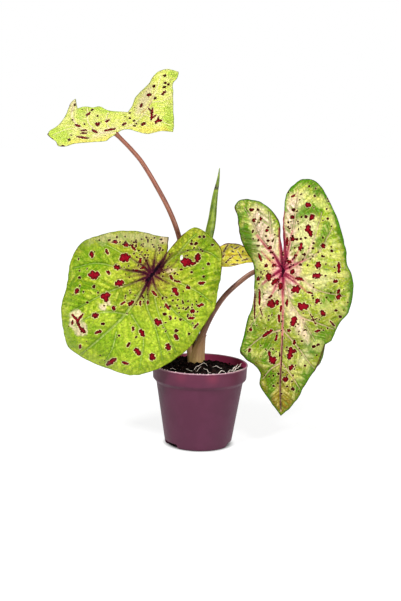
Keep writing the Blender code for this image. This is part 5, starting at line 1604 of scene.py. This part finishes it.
def crumb_piece(material):
    """Loose crumbs, bark bits and lumps that lie half sunk in the soil."""
    draw = np.random.default_rng(23)
    work = bmesh.new()
    edge = RIM_RADIUS - WALL - 2.6
    for index in range(CRUMBS):
        reach, turn = edge * math.sqrt(draw.uniform()), draw.uniform(0.0, FULL_TURN)
        x, y = reach * math.cos(turn), reach * math.sin(turn)
        size = draw.uniform(*CRUMB_SIZES) * (1.8 if index % 9 == 0 else 1.0)
        made = bmesh.ops.create_icosphere(work, subdivisions=1, radius=1.0)["verts"]
        stretch = Vector((draw.uniform(0.7, 1.6), draw.uniform(0.6, 1.1), draw.uniform(0.5, 0.9)))
        spin = Matrix.Rotation(draw.uniform(0.0, 6.3), 3, "Z")
        spin = spin @ Matrix.Rotation(draw.uniform(-0.6, 0.6), 3, "X")
        at = Vector((x, y, soil_height(x, y) + 0.1 + 0.35 * size))
        for vert in made:
            rough = 1.0 + 0.35 * noise.noise(vert.co * 1.7 + Vector((index, 0.0, 0.0)))
            vert.co = (at + spin @ (vert.co * stretch) * size * rough) * MM
    mesh = bpy.data.meshes.new("soil_crumbs")
    work.to_mesh(mesh)
    work.free()
    corners = len(made)
    store(mesh, "lump_top", draw.uniform(0.0, 3.6, CRUMBS).repeat(corners))
    return finish_piece("soil_crumbs", mesh, material, "potting_mix", sharp_deg=30.0)


def soil_material():
    """Damp peat-based potting mix: nearly black peat with brown bark and coir flecks, rough.
    The raised tops of its lumps are painted lighter than the hollows between them, as painted light
    and shade.
    """
    material, tree, shader = new_material(
        "damp_peat_potting_mix", Roughness=0.9, IOR=1.4, Specular_IOR_Level=0.1,
    )
    place = put(tree, "TexCoord", out="Object")
    sources = {}
    for key, size, detail in (("lump", 4.0, 3.0), ("grit", 0.7, 3.0), ("fleck", 1.3, 2.0)):
        sources[key] = put(
            tree, "TexNoise",
            {"Vector": place, "Scale": 1.0 / (size * MM), "Detail": detail, "Roughness": 0.65},
        )
    top = put(tree, "Attribute", out="Fac", attribute_name="lump_top")
    sources["top"] = put(
        tree, "Math", {0: sources["grit"], 1: 2.0, 2: top}, operation="MULTIPLY_ADD",
    )
    # The top row paints the raised tops of the lumps lighter, as painted light, while on the crumbs it
    # gives a random lighter tone
    dress(tree, shader, "050202", sources, """
        lump 0.52 0.66 100605 0.9
        top 3.6 5.2 3A1E1C 0.7
        grit 0.62 0.72 48282A 0.5
        fleck 0.64 0.7 6E483C 0.8
        fleck 0.7 0.75 D0B4A4 0.85
    """, sources["grit"], 0.9, 0.5)
    return material


# Pale root fibres on the soil: (x, y) points with the height above the soil, then the radius
FIBRES = [
    ([(-7, -24, 0), (-3, -19, 1), (1, -12, 1.5), (4, -9, 1.5), (8, -13, 0)], 0.32),
    ([(-4, -28, 0), (-1, -22, 0.6), (1, -14, 0.5)], 0.24),
    ([(4, -17, 0), (8, -23, 1), (9, -29, 0.6), (12, -30, 0)], 0.3),
    ([(-15, -22, 0), (-12, -25, 0.6), (-8, -29, 0)], 0.26),
    ([(33, -26, 0), (37, -14, 2), (40, -5, 3.5), (42, 4, 5)], 0.38),
    ([(34, -25, 0), (40, -14, 1.5), (43, -7, 3), (46, 2, 5)], 0.34),
    ([(20, -31, 0), (23, -27, 0.8), (27, -26, 0)], 0.3),
    ([(30, -27, 0), (33, -20, 0.8), (34, -14, 0)], 0.3),
    ([(14, -10, 0), (19, -8, 0.8), (24, -10, 0)], 0.26),
    ([(-26, -22, 0), (-30, -18, 0.5), (-33, -20, 0)], 0.26),
]


def fibre_piece(material):
    """Thin pale roots that lie over the soil, and pale grit along the front of the rim."""
    curve = bpy.data.curves.new("root_fibres", "CURVE")
    curve.dimensions = "3D"
    curve.bevel_depth = MM
    curve.bevel_resolution = 2
    curve.use_fill_caps = True
    for index, (line, thick) in enumerate(FIBRES):
        path = smooth_path(line, 1.2)
        spline = curve.splines.new("POLY")
        spline.points.add(len(path) - 1)
        for k, p in enumerate(path):
            t = k / (len(path) - 1)
            sway = 0.5 * noise.noise(Vector((p.x, p.y, 3.0 * index)) * 0.5)
            height = soil_height(p.x, p.y) + FIBRE_LIFT + p.z
            spline.points[k].co = (*(Vector((p.x + sway, p.y - sway, height)) * MM), 1.0)
            spline.points[k].radius = thick * (0.5 + 0.6 * math.sin(math.pi * (0.15 + 0.75 * t)))
    item = add_object("root_fibres_curve", curve)
    mesh = evaluated_mesh(item)
    bpy.data.objects.remove(item, do_unlink=True)
    work = bmesh.new()
    work.from_mesh(mesh)
    draw = np.random.default_rng(5)
    for index in range(GRAINS):
        turn = math.radians(draw.uniform(-150.0, -25.0))
        on_lip = index % 2 == 0
        in_from_rim = draw.uniform(0.5, 1.1) if on_lip else WALL + draw.uniform(1.2, 6.0)
        reach = RIM_RADIUS - in_from_rim
        x, y = reach * math.cos(turn), reach * math.sin(turn)
        height = POT_HEIGHT + 0.15 if on_lip else soil_height(x, y) + GRAIN_LIFT
        at = Vector((x, y, height)) * MM
        for vert in bmesh.ops.create_icosphere(work, subdivisions=1, radius=1.0)["verts"]:
            stretch = 1.0 + 0.3 * noise.noise(vert.co * 2.0 + at * 900.0)
            vert.co = at + vert.co * draw.uniform(*GRAIN_SIZES) * stretch * MM
    work.to_mesh(mesh)
    work.free()
    return finish_piece("root_fibres", mesh, material, "stalk_skin")


def fibre_material():
    """Dry fine roots: cream, slightly brown in places, matt."""
    material, tree, shader = new_material("dry_root_fibre", Roughness=0.7, IOR=1.4)
    place = put(tree, "TexCoord", out="Object")
    tint = put(tree, "TexNoise", {"Vector": place, "Scale": 1.0 / (2.5 * MM)})
    dress(tree, shader, "EADDD2", {"tint": tint}, "tint 0.5 0.7 B99C88 0.7")
    return material


def tuber_material():
    """Corky brown skin of the buried tuber, with rings where old leaves stood."""
    material, tree, shader = new_material("corky_tuber_skin", Roughness=0.85, IOR=1.4)
    place = put(tree, "TexCoord", out="Object")
    cork = put(tree, "TexNoise", {"Vector": place, "Scale": 1.0 / (3.0 * MM)})
    ring = put(
        tree, "TexWave", {"Vector": place, "Scale": 0.1 / MM, "Distortion": 3.0},
        bands_direction="Z",
    )
    dress(tree, shader, "6B4A34", {"cork": cork, "ring": ring}, """
        cork 0.5 0.7 8E6A4A 0.8
        ring 0.6 0.9 4A3022 0.6
    """, cork, 0.6, 0.6)
    return material


def make_camera():
    """The camera at the photograph's place, aim and roll."""
    heading = (CAMERA_AIM - CAMERA_AT).normalized()
    right = heading.cross(Vector((0.0, 0.0, 1.0))).normalized()
    up = right.cross(heading)
    rolled_right = right * math.cos(CAMERA_ROLL) + up * math.sin(CAMERA_ROLL)
    rolled_up = up * math.cos(CAMERA_ROLL) - right * math.sin(CAMERA_ROLL)
    data = bpy.data.cameras.new("camera")
    data.sensor_fit = "AUTO"
    data.sensor_width = SENSOR
    data.lens = FOCAL_PIXELS / PHOTO_HEIGHT * SENSOR
    data.clip_end = 20.0
    camera = add_object("camera", data)
    turn = Matrix((rolled_right, rolled_up, -heading)).transposed().to_4x4()
    camera.matrix_world = Matrix.Translation(CAMERA_AT) @ turn
    bpy.context.scene.camera = camera


def make_studio():
    """White surround and a soft key from the upper left, with weaker boxes in front, at the right
    and behind. The floor is a matt white sheet lit from below, so shadows on it stay faint; its
    light is painted out under the pot and a little round its base, as a painted contact shadow."""
    world = bpy.data.worlds.new("studio")
    world.use_nodes = True
    tree = world.node_tree
    seen = put(tree, "LightPath", out="Is Camera Ray")
    strength = put(tree, "MapRange", {"Value": seen, "To Min": SURROUND_LIGHT, "To Max": 1.0})
    tree.links.new(strength, tree.nodes["Background"].inputs["Strength"])
    tree.nodes["Background"].inputs["Color"].default_value = hex_colour("FFFFFF")
    bpy.context.scene.world = world
    for name, (at, aim, size, watts) in LIGHT_BOXES.items():
        data = bpy.data.lights.new(name, "AREA")
        data.size = size
        data.energy = watts
        light = add_object(name, data)
        light.location = at
        light.rotation_euler = (Vector(aim) - Vector(at)).to_track_quat("-Z", "Y").to_euler()
    material, tree, shader = new_material(
        "matt_white_sheet_lit_from_below", Roughness=0.9, Specular_IOR_Level=0.1,
        Emission_Color=hex_colour("FFFFFF"),
    )
    place = put(tree, "TexCoord", out="Object")
    tooth = put(tree, "TexNoise", {"Vector": place, "Scale": 1.0 / (4.0 * MM)})
    dress(tree, shader, "8C8C8C", {"tooth": tooth}, "tooth 0.4 0.6 8E8E8E 1")
    away = put(tree, "VectorMath", {0: place}, out="Value", operation="LENGTH")
    near, far = SHEET_LIGHT_GROWS
    dim, bright = SHEET_LIGHT
    light_below = put(
        tree, "MapRange",
        {"Value": away, "From Min": near, "From Max": far, "To Min": dim, "To Max": bright},
    )
    # A painted contact shadow: the sheet's light fades to nothing from a little outside the pot's base
    # to under it
    near, far = SHEET_LIGHT_STARTS
    painted_contact_shadow = put(
        tree, "MapRange", {"Value": away, "From Min": near, "From Max": far},
        interpolation_type="SMOOTHSTEP",
    )
    light_below = put(tree, "Math", {0: light_below, 1: painted_contact_shadow}, operation="MULTIPLY")
    tree.links.new(light_below, shader.inputs["Emission Strength"])
    corners = [(x * SHEET_HALF, y * SHEET_HALF, 0.0) for x, y in ((-1, -1), (1, -1), (1, 1), (-1, 1))]
    mesh = bpy.data.meshes.new("floor")
    mesh.from_pydata(corners, [], [(0, 1, 2, 3)])
    mesh.materials.append(material)
    add_object("floor", mesh)


def main():
    bpy.context.scene.view_settings.view_transform = "Standard"
    make_camera()
    make_studio()
    for index, (name, leaf) in enumerate(LEAVES.items()):
        material = blade_material("caladium_blade_" + name[5:], SKINS[name])
        leaf_piece(name, leaf, material, seed=10 * index + 3)
    skin = stalk_material()
    for name, stalk in STALKS.items():
        stalk_piece(name, stalk, skin)
    sheath_piece(skin)
    rolled_piece(rolled_material())
    pot_piece(pot_material())
    mix = soil_material()
    soil_piece(mix)
    crumb_piece(mix)
    fibre_piece(fibre_material())
    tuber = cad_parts["tuber"]
    tuber.data.materials.clear()
    tuber.data.materials.append(tuber_material())


main()
